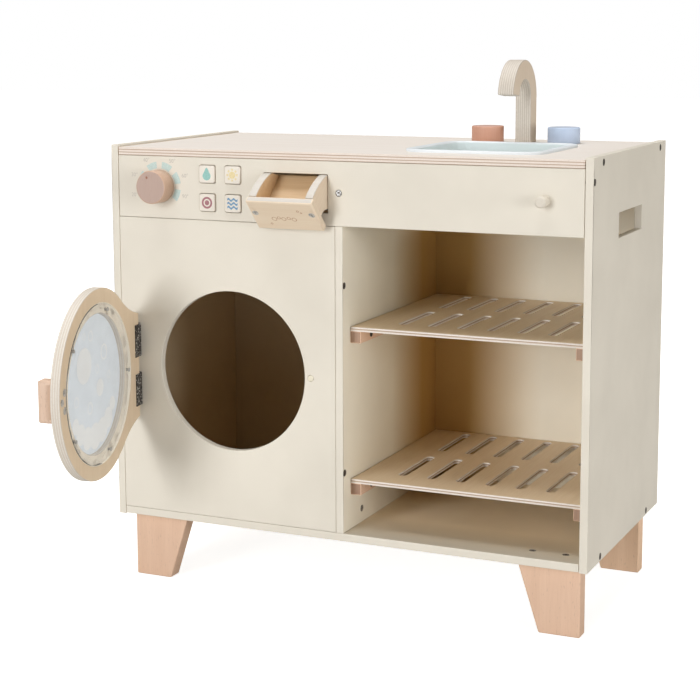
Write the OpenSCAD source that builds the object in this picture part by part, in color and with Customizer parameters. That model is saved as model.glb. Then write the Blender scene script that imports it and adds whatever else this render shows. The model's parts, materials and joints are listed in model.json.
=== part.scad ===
// Toy washing machine combined with a toy sink unit, in painted board and beech.
// Lengths are in millimetres and +Z points up. The front faces -Y.
// The origin lies on the floor, below the middle of the object with its door as stored.

/* [Cabinet] */
// Width over the two side panels
body_w = 576; // [540:1:640]
// Depth of the side panels
body_d = 300; // [290:1:340]
// Height of the side panels
panel_h = 440; // [425:1:480]
// Thickness of the painted boards
board_t = 9; // [8:0.5:10]
// Height of the control panel
control_h = 71.5; // [71:0.5:76]
// Distance from the left side to the divider
washer_w = 285; // [280:1:300]
// Length of the carrying slots
slot_len = 96.5; // [80:0.5:110]
// Height of the carrying slots
slot_h = 27.5; // [24:0.5:32]

/* [Legs] */
// Height of the cabinet above the floor
leg_h = 78.5; // [60:0.5:110]
// Width of a leg at its foot
leg_foot_w = 46.5; // [36:0.5:52]
// Width of a leg at the cabinet
leg_top_w = 72; // [60:0.5:80]
// Thickness of a leg
leg_t = 19.5; // [16:0.5:24]
// Set-back of the front legs from the front edge
leg_front = 18; // [10:0.5:30]

/* [Washer door] */
// Outer radius of the door ring
door_r = 107; // [100:0.5:108]
// Thickness of the door ring
door_t = 11; // [9:0.5:14]
// Radius of the porthole in the front panel
porthole_r = 92.5; // [88:0.5:94]
// Radius of the see-through hole in the door ring
door_hole_r = 78.3; // [70:0.1:80]
// Radius of the window disc
window_r = 89.6; // [86:0.1:90]
// Thickness of the window disc
window_t = 3; // [2:0.5:4]
// Half the height of the tab that carries the hinges
tab_half = 61.5; // [56:0.5:66]
// How far the door stands open, in degrees
door_open = 80.6; // [60:0.1:100]
// Height of the door handle
handle_h = 47; // [36:0.5:60]
// How far the door handle stands out
handle_out = 17.5; // [12:0.5:24]

/* [Controls] */
// Radius of the dial
dial_r = 19; // [16:0.5:20]
// How far the dial stands out
dial_out = 21; // [14:0.5:26]
// Side of a button cap
button_side = 19.6; // [16:0.1:21]
// How far a button cap stands out
button_out = 2; // [1.5:0.1:3]
// How far a button can be pressed
button_travel = 2.5; // [1.5:0.1:3]
// Diameter of the towel peg
peg_d = 12.5; // [10:0.5:16]
// How far the towel peg stands out
peg_out = 15; // [12:0.5:20]

/* [Soap tray] */
// Width of the tray body between the outsides of its cheeks
tray_w = 77.5; // [74:0.5:78]
// Height of the tray's front plate
tray_h = 47; // [45:0.5:49]
// Thickness of the tray's front plate
tray_plate_t = 8.5; // [7:0.5:9]
// Length of the tray behind its front plate
tray_len = 54; // [48:0.5:56]
// How far the tray is tipped open, in degrees
tray_open = 45; // [35:1:45]

/* [Sink and tap] */
// Side of the square sink rim
sink_side = 162; // [150:1:166]
// Depth of the sink bowl
sink_depth = 38; // [30:1:45]
// Width of the flat tap
tap_w = 18.6; // [16:0.1:22]
// Outer radius of the tap's bend
tap_bend_r = 43.5; // [38:0.5:46]
// Height of the centre of the tap's bend above the worktop
tap_rise = 54; // [45:0.5:75]
// Diameter of the tap knobs
knob_d = 38; // [32:0.5:42]
// Height of the tap knobs
knob_h = 19; // [14:0.5:26]

/* [Shelves] */
// Thickness of the plywood shelves
shelf_t = 5; // [4:0.5:6]
// Height of the upper shelf's top above the cabinet's lower edge
upper_shelf_z = 243; // [235:1:260]
// Height of the lower shelf's top above the cabinet's lower edge
lower_shelf_z = 69; // [64:1:90]
// Number of slots across a shelf
slot_count = 6; // [4:1:6]
// Width of a shelf slot
shelf_slot_w = 10; // [8:0.5:12]
// Width of a shelf batten
batten_w = 13; // [11:0.5:16]
// Height of a shelf batten
batten_h = 13.5; // [11:0.5:16]

/* [Hidden] */

$fn = 48;
// A length that makes a cut run past a face
past = 1;

// Colours
cream = [0.90, 0.87, 0.81];
beech = [0.88, 0.75, 0.64];
plywood = [0.80, 0.70, 0.56];
pale_wood = [0.91, 0.81, 0.68];
steel = [0.72, 0.72, 0.72];
dark_steel = [0.22, 0.22, 0.22];
white = [0.95, 0.95, 0.93];
mint = [0.86, 0.91, 0.89];
orange = [0.81, 0.52, 0.40];
blue = [0.71, 0.78, 0.89];
clear = [0.85, 0.90, 0.92, 0.35];

// Boards, measured from the lower front corner of the left side panel
bottom_z = 1;
floor_z = bottom_z + board_t;
worktop_lip = 2.5;
worktop_top = panel_h - worktop_lip;
worktop_z = worktop_top - board_t;
control_z = worktop_z - control_h;
inner_l = board_t;
inner_r = body_w - board_t;
divider_x = washer_w;
bay_l = divider_x + board_t;
back_t = 5;
back_y = body_d - 17;
groove = 3;
groove_fit = 0.3;

// Carrying slots
slot_y = body_d / 2 - 50;
slot_drop = 66;
slot_top = panel_h - slot_drop;

// Legs
leg_inset = 12.1;
leg_full = leg_h + bottom_z;
leg_rear = back_y - leg_t - 0.5;
leg_screw_outer = 19.5;
leg_screw_inner = 15;
leg_screw_xs = [leg_inset + leg_screw_outer, leg_inset + leg_top_w - leg_screw_inner];

// Screws: head radius, head height, shank radius, and the play round them
head_r = 3.6;
head_t = 1.6;
shank_r = 1.9;
small_head_r = 2.3;
small_head_t = 0.7;
small_shank_r = 1.1;
play = 0.15;
panel_screw_len = 28;
leg_screw_len = 34;
batten_screw_len = 18;

// Places of the screws in the side panels, as [y, z]
side_screws = [
    [36, worktop_z + board_t / 2],
    [body_d - 25, worktop_z + board_t / 2],
    [board_t / 2, worktop_z - 14],
    [50.6, bottom_z + board_t / 2],
    [body_d - 54, bottom_z + board_t / 2]
];
// Places of the screws into the upright edges of the washer's front panel, as heights
front_screw_low = 79;
front_screw_drop = 66;
front_edge_screws = [front_screw_low, control_z - front_screw_drop];
block_screw = [52, 26];
control_screw_z = worktop_z - 35;

// Block that ties the divider to the bottom board
block_w = 18;
block_d = 24;
block_h = 32;

// Door: measured from the hinge axis, u along the door, v up, w out of the front
hinge_shift = 0.5;
hinge_x = (washer_w - board_t) / 8 - hinge_shift;
barrel_r = 2.2;
barrel_gap = 0.3;
hinge_y = -(barrel_r + barrel_gap);
door_face = -1;
door_outer = door_face + door_t;
door_u = door_r + 13.5;
door_z = (floor_z + control_z) / 2 + 1;
tab_u = 3.7;
blend_angle = 128;
blend_dir = [cos(blend_angle), sin(blend_angle)];
blend_touch = [door_u, 0] + door_r * blend_dir;
blend_span = blend_touch - [tab_u, tab_half];
blend_r = -(blend_span * blend_span) / (2 * (blend_dir * blend_span));
blend_centre = blend_touch + blend_r * blend_dir;
window_gap = 0.4;
window_screw_r = (door_hole_r + window_r) / 2;
window_screw_count = 5;
handle_w = 16;
handle_u = door_u + door_r - 5.6 - handle_w / 2;
handle_round = 5;
handle_screw_v = handle_h / 2 - 13.75;
strike_u = door_u + (porthole_r + door_r) / 2;
strike_r = 3.5;
strike_t = 1.5;
magnet_t = 4;

// Door hinges
hinge_len = 38;
hinge_leaf_w = 15;
hinge_leaf_t = 1.2;
hinge_offset = 29;
knuckles = 5;
knuckle_len = hinge_len / knuckles;
knuckle_gap = 0.1;
pin_r = 1;
pin_play = 0.05;
hinge_screw_u = 9.5;
hinge_screw_v = 13;
hinge_screw_len = 7;

// Control panel
dial_shift = 29;
dial_x = (washer_w - dial_shift) / 4;
dial_z = worktop_z - 34.5;
dial_dot_angle = 114;
dial_dot_r = 12;
turn_gap = 0.3;
spindle_r = 5;
spindle_play = 0.05;
retainer_r = 9;
retainer_t = 3;
button_shift = 31.6;
button_x = (washer_w - button_shift) / 2;
button_pitch_x = 32.6;
button_pitch_z = 32.3;
button_drop = 19;
button_xs = [button_x, button_x + button_pitch_x];
button_zs = [worktop_z - button_drop - button_pitch_z, worktop_z - button_drop];
button_gap = 0.7;
button_hole = button_side + 2 * button_gap;
button_round = 2.5;
flange_lip = 1.3;
flange_side = button_hole + 2 * flange_lip;
flange_t = 2;
flange_gap = 0.3;
stem_r = 3.5;
stem_len = 8;
pocket_play = 0.6;
spring_bore_r = 6.3;
spring_r = 4.9;
spring_wire_r = 0.5;
spring_turns = 4;
housing_d = 24;
housing_margin = 5;
housing_l = button_xs[0] - flange_side / 2 - housing_margin;
housing_r = button_xs[1] + flange_side / 2 + housing_margin;
housing_rim = 2;
housing_floor = 4;
housing_screw_in = 2.6;
housing_low = button_zs[0] - flange_side / 2 - housing_rim;
housing_high = button_zs[1] + flange_side / 2 + housing_rim;
flange_y = board_t + flange_gap;
pocket_floor = flange_y + flange_t + button_travel + 0.5;
spring_floor = board_t + housing_d - housing_floor;
housing_screws = [
    [housing_l + housing_screw_in, (housing_low + housing_high) / 2],
    [housing_r - housing_screw_in, (housing_low + housing_high) / 2]
];
peg_x = body_w - 52.5;
peg_z = worktop_z - 34.8;
peg_round = 2.5;
peg_tenon_r = 4;
seat_play = 0.1;

// Soap tray: closed shape, turned about the axis of its two flap hinges
tray_inset = 86.5;
tray_x = washer_w - tray_inset;
tray_gap = 0.6;
tray_pivot_y = -1.8;
tray_pivot_z = control_z - 0.8;
tray_front_y = -11.2;
tray_back_y = tray_front_y + tray_plate_t;
tray_low = control_z + 2.5;
tray_floor_z = tray_low + 11.8;
tray_floor_t = 8;
tray_overlap = 1.75;
tray_hole_low = tray_floor_z - 0.3;
tray_hole_high = worktop_z - 14.8;
tray_end = tray_back_y + tray_len;
cheek_t = 9;
cheek_arc_r = 88;
cheek_clear_r = tray_hole_high - tray_pivot_z - 0.6;
cheek_relief_r = 19.2;
cheek_low = tray_floor_z - 8;
tray_screw_z = tray_low + 27.8;
tray_round = 2.5;
tray_hole_round = 1;
flap_r = 1.5;
flap_leaf_t = 0.9;
flap_pin_r = 0.7;
flap_len = 20;
flap_knuckles = 3;
flap_knuckle = flap_len / flap_knuckles;
flap_xs = [tray_x + 12, tray_x + tray_w - 12 - flap_len];
flap_top = tray_floor_z - 2;
stop_r = 2.5;
stop_seat = 4;
stop_out = 6;
stop_rise = 26;
stop_reach = (board_t + stop_r + 0.1 - tray_pivot_y) / cos(45) + stop_rise;

// Sink and tap
sink_shift = 6.5;
sink_x = (bay_l + inner_r) / 2 - sink_shift;
sink_inset = 177;
sink_y = body_d - sink_inset;
sink_rim_t = 3;
sink_rim_w = 10;
sink_wall = 2;
sink_round = 27;
bowl_round = 19;
bowl_taper = 8;
bowl_foot_h = 4;
bowl_foot_in = 5;
bowl_foot_round = 2;
bowl_sheet_t = 0.01;
bowl_lap = 0.5;
sink_hole = sink_side - 2 * sink_rim_w + 2 * sink_wall + 2;
tap_depth = 23;
tap_shift = 1;
tap_x = sink_x - tap_shift;
tap_inset = 47.5;
tap_back = body_d - tap_inset;
tap_centre_y = tap_back - tap_bend_r;
tap_end_angle = 6;
tenon_w = 11;
tenon_d = 14;
knob_inset = 60;
knob_y = body_d - knob_inset;
knob_spread = 47;
knob_round = 1.5;

// Shelves
shelf_gap = 1.2;
shelf_l = bay_l + shelf_gap;
shelf_r = inner_r - shelf_gap;
shelf_front = 19;
shelf_back = back_y - 1;
shelf_margin = 36;
slot_row_gap = 30;
slot_row = (shelf_back - shelf_front - 2 * 26.5 - slot_row_gap) / 2 + 4;
slot_pitch = 35 * (shelf_r - shelf_l) / 270.6 * 5 / (slot_count - 1);
slot_first = (shelf_l + shelf_r) / 2 - slot_pitch * (slot_count - 1) / 2 - 1.5;
batten_front = 20;
batten_screw_ys = [50, back_y - 40];

// How far the stored object reaches to the front
door_reach = (door_u + door_r) * sin(door_open) + door_outer * cos(door_open);
handle_reach = (handle_u + handle_w / 2) * sin(door_open)
    + (door_outer + handle_out) * cos(door_open);
front_y = hinge_y - max(door_reach, handle_reach);
middle_y = (front_y + body_d) / 2;

// ---------- frames ----------

// From the lower front corner of the left side panel to the part's own frame
module in_cabinet() {
    translate([-body_w / 2, -middle_y, leg_h]) children();
}

// From the door's own directions [u, v, w] to the cabinet, as the door stands
module on_door() {
    in_cabinet() translate([hinge_x, hinge_y, door_z])
        rotate([0, 0, -door_open]) rotate([90, 0, 0]) children();
}

// The closed soap tray, tipped forward about its hinge axis
module on_tray() {
    in_cabinet() translate([0, tray_pivot_y, tray_pivot_z])
        rotate([tray_open, 0, 0]) translate([0, -tray_pivot_y, -tray_pivot_z]) children();
}

// A flat outline in [y, z] that is extruded along X
module along_x(x0, length) {
    translate([x0, 0, 0]) rotate([90, 0, 90]) linear_extrude(length) children();
}

// A flat outline in [x, z] that is extruded along Y
module along_y(y0, length) {
    translate([0, y0 + length, 0]) rotate([90, 0, 0]) linear_extrude(length) children();
}

// ---------- shared shapes ----------

module rounded_square(width, depth, radius) {
    translate([radius, 0]) square([width - 2 * radius, depth]);
    translate([0, radius]) square([width, depth - 2 * radius]);
    for (x = [radius, width - radius], y = [radius, depth - radius])
        translate([x, y]) circle(radius);
}

module centred_square(side, radius) {
    translate([-side / 2, -side / 2]) rounded_square(side, side, radius);
}

// A block with rounded edges
module rounded_block(size, radius) {
    intersection() {
        linear_extrude(size.z) rounded_square(size.x, size.y, radius);
        translate([0, size.y, 0]) rotate([90, 0, 0])
            linear_extrude(size.y) rounded_square(size.x, size.z, radius);
        along_x(0, size.x) rounded_square(size.y, size.z, radius);
    }
}

// A turned disc that stands on z = 0 and has a rounded top edge
module turned_disc(radius, height, round_r) {
    rotate_extrude() intersection() {
        square([radius, height]);
        union() {
            square([radius, height - round_r]);
            square([radius - round_r, height]);
            translate([radius - round_r, height - round_r]) circle(round_r);
        }
    }
}

// A screw whose head lies flush with z = 0 and whose shank points down
module screw(length, head = head_r, thick = head_t, shank = shank_r) {
    difference() {
        union() {
            translate([0, 0, -thick]) cylinder(r = head, h = thick);
            translate([0, 0, -length]) cylinder(r = shank, h = length - thick / 2);
        }
        translate([0, 0, -thick * 0.6]) cylinder(r = head * 0.45, h = thick, $fn = 6);
    }
}

// The hole that takes such a screw
module screw_hole(length, head = head_r, thick = head_t, shank = shank_r) {
    translate([0, 0, -thick]) cylinder(r = head + play, h = thick + past);
    translate([0, 0, -length - play]) cylinder(r = shank + play, h = length);
}

module small_screw(length) {
    screw(length, small_head_r, small_head_t, small_shank_r);
}

module small_screw_hole(length) {
    screw_hole(length, small_head_r, small_head_t, small_shank_r);
}

// ---------- places of the screws ----------

// Screws through the side panels, pointing inwards
module at_side_screws() {
    for (p = side_screws) {
        translate([0, p.x, p.y]) rotate([0, -90, 0]) children();
        translate([body_w, p.x, p.y]) rotate([0, 90, 0]) children();
    }
    for (z = front_edge_screws)
        translate([0, board_t / 2, z]) rotate([0, -90, 0]) children();
}

// Screws from the bay through the divider, pointing to the washer side
module at_divider_screws() {
    for (z = front_edge_screws)
        translate([bay_l, board_t / 2, z]) rotate([0, 90, 0]) children();
    translate([bay_l, block_screw.x, block_screw.y]) rotate([0, 90, 0]) children();
}

// The screw through the control panel into the divider
module at_control_screw() {
    translate([divider_x + board_t / 2, 0, control_screw_z]) rotate([90, 0, 0]) children();
}

// Screws from the bottom board down into the legs
module at_leg_screws() {
    for (x = leg_screw_xs, y = [leg_front, leg_rear]) {
        translate([x, y + leg_t / 2, floor_z]) children();
        translate([body_w - x, y + leg_t / 2, floor_z]) children();
    }
}

// Screws from the bay through the battens
module at_batten_screws() {
    for (top = [upper_shelf_z, lower_shelf_z], y = batten_screw_ys) {
        translate([bay_l + batten_w, y, top - shelf_t - batten_h / 2])
            rotate([0, 90, 0]) children();
        translate([inner_r - batten_w, y, top - shelf_t - batten_h / 2])
            rotate([0, -90, 0]) children();
    }
}

// Screws through the fixed leaves of the door hinges
module at_hinge_frame_screws() {
    for (side = [-1, 1], v = [-1, 1])
        translate([hinge_x - hinge_screw_u, -hinge_leaf_t,
            door_z + side * hinge_offset + v * hinge_screw_v])
            rotate([90, 0, 0]) children();
}

// Screws through the moving leaves of the door hinges, in door directions
module at_hinge_door_screws() {
    for (side = [-1, 1], v = [-1, 1])
        translate([hinge_screw_u + 1, side * hinge_offset + v * hinge_screw_v,
            door_face - hinge_leaf_t])
            rotate([180, 0, 0]) children();
}

// Screws round the window, in door directions
module at_window_screws() {
    for (i = [0 : window_screw_count - 1])
        translate([door_u, 0, door_face]) rotate([0, 0, 180 + 360 / window_screw_count * i])
            translate([window_screw_r, 0, 0]) rotate([180, 0, 0]) children();
}

// Screws through the door ring into the handle, in door directions
module at_handle_screws() {
    for (v = [-handle_screw_v, handle_screw_v])
        translate([handle_u, v, door_face]) rotate([180, 0, 0]) children();
}

// Screws through the tray's front plate into its cheeks, on the closed tray
module at_tray_screws() {
    for (x = [tray_x + cheek_t / 2, tray_x + tray_w - cheek_t / 2])
        translate([x, tray_front_y, tray_screw_z]) rotate([90, 0, 0]) children();
}

module at_housing_screws() {
    for (p = housing_screws)
        translate([p.x, board_t + housing_d, p.y]) rotate([-90, 0, 0]) children();
}

module at_buttons() {
    for (x = button_xs, z = button_zs)
        translate([x, 0, z]) children();
}

// ---------- cabinet ----------

module carrying_slot(x0) {
    translate([x0 - past, slot_y, slot_top - slot_h])
        cube([board_t + 2 * past, slot_len, slot_h]);
}

// The groove in a side panel that holds the back panel
module panel_groove(x0) {
    translate([x0, back_y, floor_z - groove])
        cube([groove + past, back_t, worktop_z - floor_z + 2 * groove]);
}

module side_panel_left() {
    color(cream) in_cabinet() difference() {
        cube([board_t, body_d, panel_h]);
        carrying_slot(0);
        panel_groove(board_t - groove);
        at_side_screws() screw_hole(panel_screw_len);
    }
}

module side_panel_right() {
    color(cream) in_cabinet() difference() {
        translate([inner_r, 0, 0]) cube([board_t, body_d, panel_h]);
        carrying_slot(inner_r);
        panel_groove(inner_r - past);
        at_side_screws() screw_hole(panel_screw_len);
        at_batten_screws() screw_hole(batten_screw_len);
    }
}

module bottom_board() {
    color(cream) in_cabinet() difference() {
        translate([inner_l, 0, bottom_z]) cube([inner_r - inner_l, body_d, board_t]);
        translate([inner_l - past, back_y, floor_z - groove])
            cube([inner_r - inner_l + 2 * past, back_t, groove + past]);
        at_side_screws() screw_hole(panel_screw_len);
        at_leg_screws() screw_hole(leg_screw_len);
    }
}

module worktop() {
    color(plywood) in_cabinet() difference() {
        translate([inner_l, 0, worktop_z]) cube([inner_r - inner_l, body_d, board_t]);
        translate([inner_l - past, back_y, worktop_z - past])
            cube([inner_r - inner_l + 2 * past, back_t, groove + past]);
        translate([sink_x, sink_y, worktop_z - past])
            linear_extrude(board_t + 2 * past) centred_square(sink_hole, sink_round - 6);
        translate([tap_x - tenon_w / 2, tap_back - tap_depth / 2 - tenon_d / 2, worktop_z - past])
            cube([tenon_w, tenon_d, board_t + 2 * past]);
        for (x = [tap_x - knob_spread, tap_x + knob_spread])
            translate([x, knob_y, worktop_z - past])
                cylinder(r = spindle_r + spindle_play, h = board_t + 2 * past);
        at_side_screws() screw_hole(panel_screw_len);
    }
}

module back_panel() {
    color(cream) in_cabinet()
        translate([inner_l - groove + groove_fit, back_y, floor_z - groove + groove_fit])
            cube([inner_r - inner_l + 2 * (groove - groove_fit), back_t,
                worktop_z - floor_z + 2 * (groove - groove_fit)]);
}

module divider_panel() {
    color(cream) in_cabinet() difference() {
        translate([divider_x, 0, floor_z]) cube([board_t, back_y, worktop_z - floor_z]);
        translate([divider_x - past, -past, control_z])
            cube([board_t + 2 * past, board_t + past, panel_h]);
        at_divider_screws() screw_hole(panel_screw_len);
        at_control_screw() screw_hole(panel_screw_len);
        at_batten_screws() screw_hole(batten_screw_len);
    }
}

module divider_block() {
    color(beech) in_cabinet() difference() {
        translate([divider_x - block_w, block_screw.x - block_d / 2, floor_z])
            cube([block_w, block_d, block_h]);
        at_divider_screws() screw_hole(panel_screw_len * 0.75);
    }
}

module control_panel() {
    color(cream) in_cabinet() difference() {
        translate([inner_l, 0, control_z]) cube([inner_r - inner_l, board_t, control_h]);
        at_buttons() along_y(-past, board_t + 2 * past)
            centred_square(button_hole, button_round);
        along_y(-past, board_t + 2 * past)
            translate([tray_x - tray_gap, tray_hole_low])
                rounded_square(tray_w + 2 * tray_gap, tray_hole_high - tray_hole_low,
                    tray_hole_round);
        translate([dial_x, -past, dial_z]) rotate([-90, 0, 0])
            cylinder(r = spindle_r + spindle_play, h = board_t + 2 * past);
        translate([peg_x, -past, peg_z]) rotate([-90, 0, 0])
            cylinder(r = peg_tenon_r + seat_play, h = board_t + 2 * past);
        at_side_screws() screw_hole(panel_screw_len);
        at_control_screw() screw_hole(panel_screw_len);
        at_housing_screws() screw_hole(housing_d + 6);
    }
}

module washer_front_panel() {
    color(cream) in_cabinet() difference() {
        translate([inner_l, 0, floor_z])
            cube([divider_x - inner_l, board_t, control_z - floor_z]);
        translate([hinge_x + door_u, -past, door_z]) rotate([-90, 0, 0])
            cylinder(r = porthole_r, h = board_t + 2 * past, $fn = 96);
        translate([hinge_x + strike_u, -past, door_z]) rotate([-90, 0, 0])
            cylinder(r = strike_r + play, h = magnet_t + past);
        at_side_screws() screw_hole(panel_screw_len);
        at_divider_screws() screw_hole(panel_screw_len);
        at_hinge_frame_screws() small_screw_hole(hinge_screw_len);
    }
}

module batten(x0, top) {
    color(beech) in_cabinet() difference() {
        translate([x0, batten_front, top - shelf_t - batten_h])
            cube([batten_w, shelf_back - 1 - batten_front, batten_h]);
        at_batten_screws() screw_hole(batten_screw_len);
    }
}

// One leg: upright on its outer side and slanted on its inner side
module leg(y0, right) {
    color(beech) in_cabinet() difference() {
        translate([right ? body_w : 0, 0, 0]) mirror([right ? 1 : 0, 0, 0])
            along_y(y0, leg_t) polygon([
                [leg_inset, -leg_h],
                [leg_inset + leg_foot_w, -leg_h],
                [leg_inset + leg_top_w, bottom_z],
                [leg_inset, bottom_z]
            ]);
        at_leg_screws() screw_hole(leg_screw_len);
    }
}

// ---------- sink, tap and peg ----------

// One level of the bowl, as a thin sheet that the walls are drawn between
module bowl_sheet(side, radius, z) {
    translate([0, 0, z])
        linear_extrude(bowl_sheet_t) centred_square(side, radius, $fn = 32);
}

module bowl(side, radius, top, depth) {
    hull() {
        bowl_sheet(side, radius, top);
        bowl_sheet(side - bowl_taper, radius, top - depth + bowl_foot_h);
        bowl_sheet(side - bowl_taper - bowl_foot_in, radius - bowl_foot_round, top - depth);
    }
}

module sink_basin() {
    mouth = sink_side - 2 * sink_rim_w;
    color(mint) in_cabinet() translate([sink_x, sink_y, worktop_top]) difference() {
        union() {
            linear_extrude(sink_rim_t) centred_square(sink_side, sink_round);
            bowl(mouth + 2 * sink_wall, bowl_round, bowl_lap, sink_depth);
        }
        bowl(mouth, bowl_round - sink_wall, sink_rim_t + bowl_lap,
            sink_depth + sink_rim_t - sink_wall);
    }
}

// Flat gooseneck: an upright that bends forward over the sink
module tap_spout() {
    color(pale_wood) in_cabinet() translate([0, 0, worktop_top]) {
        along_x(tap_x - tap_w / 2, tap_w) {
            translate([tap_back - tap_depth, 0]) square([tap_depth, tap_rise]);
            difference() {
                translate([tap_centre_y, tap_rise]) circle(tap_bend_r, $fn = 96);
                translate([tap_centre_y, tap_rise]) circle(tap_bend_r - tap_depth, $fn = 96);
                translate([tap_centre_y - tap_bend_r * 2, tap_rise - tap_bend_r * 2])
                    square([tap_bend_r * 4, tap_bend_r * 2]);
                translate([tap_centre_y, tap_rise]) rotate(180 - tap_end_angle)
                    square([tap_bend_r * 2, tap_bend_r * 2]);
            }
        }
        translate([tap_x - tenon_w / 2, tap_back - tap_depth / 2 - tenon_d / 2, -board_t])
            cube([tenon_w, tenon_d, board_t + past]);
    }
}

module towel_peg() {
    color(cream) in_cabinet() translate([peg_x, 0, peg_z]) rotate([90, 0, 0]) {
        turned_disc(peg_d / 2, peg_out, peg_round);
        translate([0, 0, -board_t]) cylinder(r = peg_tenon_r, h = board_t + past);
    }
}

// ---------- fasteners of the cabinet ----------

module panel_screws() {
    color(dark_steel) in_cabinet() {
        at_side_screws() screw(panel_screw_len);
        at_divider_screws() screw(panel_screw_len * 0.75);
        at_control_screw() screw(panel_screw_len);
    }
}

module leg_screws() {
    color(steel) in_cabinet() at_leg_screws() screw(leg_screw_len);
}

module batten_screws() {
    color(dark_steel) in_cabinet() at_batten_screws() screw(batten_screw_len);
}

module front_panel_magnet() {
    color(steel) in_cabinet() translate([hinge_x + strike_u, 0, door_z])
        rotate([-90, 0, 0]) cylinder(r = strike_r, h = magnet_t);
}

// ---------- door hinges ----------

// Knuckles number 0 to 4 count upwards; the fixed leaf has the even ones
module knuckle(index) {
    translate([0, 0, -hinge_len / 2 + index * knuckle_len + knuckle_gap / 2])
        cylinder(r = barrel_r, h = knuckle_len - knuckle_gap, $fn = 32);
}

// Room for the knuckles of the other leaf
module knuckle_room(index, reach) {
    translate([-reach, -barrel_r * 2, -hinge_len / 2 + index * knuckle_len - knuckle_gap / 2])
        cube([2 * reach, barrel_r * 4, knuckle_len + knuckle_gap]);
}

module hinge_pin_hole() {
    translate([0, 0, -hinge_len / 2 - past])
        cylinder(r = pin_r + pin_play, h = hinge_len + 2 * past, $fn = 32);
}

module hinge_frame_leaves() {
    color(dark_steel) in_cabinet() difference() {
        for (side = [-1, 1]) translate([hinge_x, hinge_y, door_z + side * hinge_offset])
            difference() {
                union() {
                    for (i = [0, 2, 4]) knuckle(i);
                    difference() {
                        translate([-hinge_leaf_w, -hinge_y - hinge_leaf_t, -hinge_len / 2])
                            cube([hinge_leaf_w, hinge_leaf_t, hinge_len]);
                        for (i = [1, 3]) knuckle_room(i, barrel_r + barrel_gap);
                    }
                }
                hinge_pin_hole();
            }
        at_hinge_frame_screws() small_screw_hole(hinge_screw_len);
    }
}

module hinge_frame_screws() {
    color(dark_steel) in_cabinet() at_hinge_frame_screws() small_screw(hinge_screw_len);
}

// In door directions: the leaf lies on the door's inner face
module hinge_door_leaves() {
    color(dark_steel) on_door() difference() {
        for (side = [-1, 1]) translate([0, side * hinge_offset, 0])
            rotate([-90, 0, 0]) difference() {
                union() {
                    for (i = [1, 3]) knuckle(i);
                    difference() {
                        translate([0, -door_face, -hinge_len / 2])
                            cube([hinge_leaf_w + 1, hinge_leaf_t, hinge_len]);
                        for (i = [0, 2, 4]) knuckle_room(i, barrel_r + barrel_gap);
                    }
                }
                hinge_pin_hole();
            }
        at_hinge_door_screws() small_screw_hole(hinge_screw_len);
    }
}

module hinge_door_screws() {
    color(dark_steel) on_door() at_hinge_door_screws() small_screw(hinge_screw_len);
}

// Pins with a small cap at each end
module hinge_pins() {
    color(dark_steel) in_cabinet() for (side = [-1, 1])
        translate([hinge_x, hinge_y, door_z + side * hinge_offset]) {
            translate([0, 0, -hinge_len / 2]) cylinder(r = pin_r, h = hinge_len, $fn = 32);
            for (end = [-1, 1])
                translate([0, 0, end * (hinge_len / 2 + 0.3 - knuckle_gap / 2) - 0.3])
                    cylinder(r = pin_r * 1.7, h = 0.6, $fn = 32);
        }
}

// ---------- door ----------

module door_outline() {
    translate([door_u, 0]) circle(door_r, $fn = 128);
    difference() {
        polygon([
            [tab_u, -tab_half],
            [blend_touch.x, -blend_touch.y],
            blend_touch,
            [tab_u, tab_half]
        ]);
        for (side = [-1, 1])
            translate([blend_centre.x, side * blend_centre.y]) circle(blend_r, $fn = 128);
    }
}

module door_frame() {
    color(plywood) on_door() difference() {
        translate([0, 0, door_face]) linear_extrude(door_t) door_outline();
        translate([door_u, 0, door_face - past])
            cylinder(r = door_hole_r, h = door_t + 2 * past, $fn = 96);
        translate([door_u, 0, door_face - past])
            cylinder(r = window_r + window_gap, h = window_t + past, $fn = 96);
        translate([strike_u, 0, door_face - past])
            cylinder(r = strike_r + play, h = strike_t + past);
        at_hinge_door_screws() small_screw_hole(hinge_screw_len);
        at_window_screws() translate([0, 0, small_head_t + 0.5])
            small_screw_hole(window_t + 6);
        at_handle_screws() screw_hole(door_t + 10);
    }
}

module door_window() {
    color(clear) on_door() difference() {
        translate([door_u, 0, door_face]) cylinder(r = window_r, h = window_t, $fn = 96);
        at_window_screws() translate([0, 0, past])
            screw_hole(window_t + 6, small_shank_r, 0.1, small_shank_r);
    }
}

// The heads stand on the window
module window_screws() {
    color(steel) on_door() at_window_screws()
        translate([0, 0, small_head_t]) small_screw(window_t + 5);
}

module door_handle() {
    color(beech) on_door() difference() {
        translate([handle_u - handle_w / 2, -handle_h / 2, door_outer]) intersection() {
            translate([0, 0, -handle_round])
                rounded_block([handle_w, handle_h, handle_out + handle_round], handle_round);
            cube([handle_w, handle_h, handle_out]);
        }
        at_handle_screws() screw_hole(door_t + 10);
    }
}

module handle_screws() {
    color(steel) on_door() at_handle_screws() screw(door_t + 10);
}

module door_strike() {
    color(steel) on_door() translate([strike_u, 0, door_face])
        cylinder(r = strike_r, h = strike_t);
}

// ---------- turning knobs ----------

// A knob on z = 0 with its spindle below; the play keeps it off the board
module turning_knob(radius, height) {
    translate([0, 0, turn_gap]) turned_disc(radius, height - turn_gap, knob_round);
    translate([0, 0, -board_t - turn_gap])
        cylinder(r = spindle_r, h = board_t + 2 * turn_gap + past);
}

module retainer_screw_hole() {
    translate([0, 0, -board_t - turn_gap - retainer_t]) rotate([180, 0, 0]) screw_hole(14);
}

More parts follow.
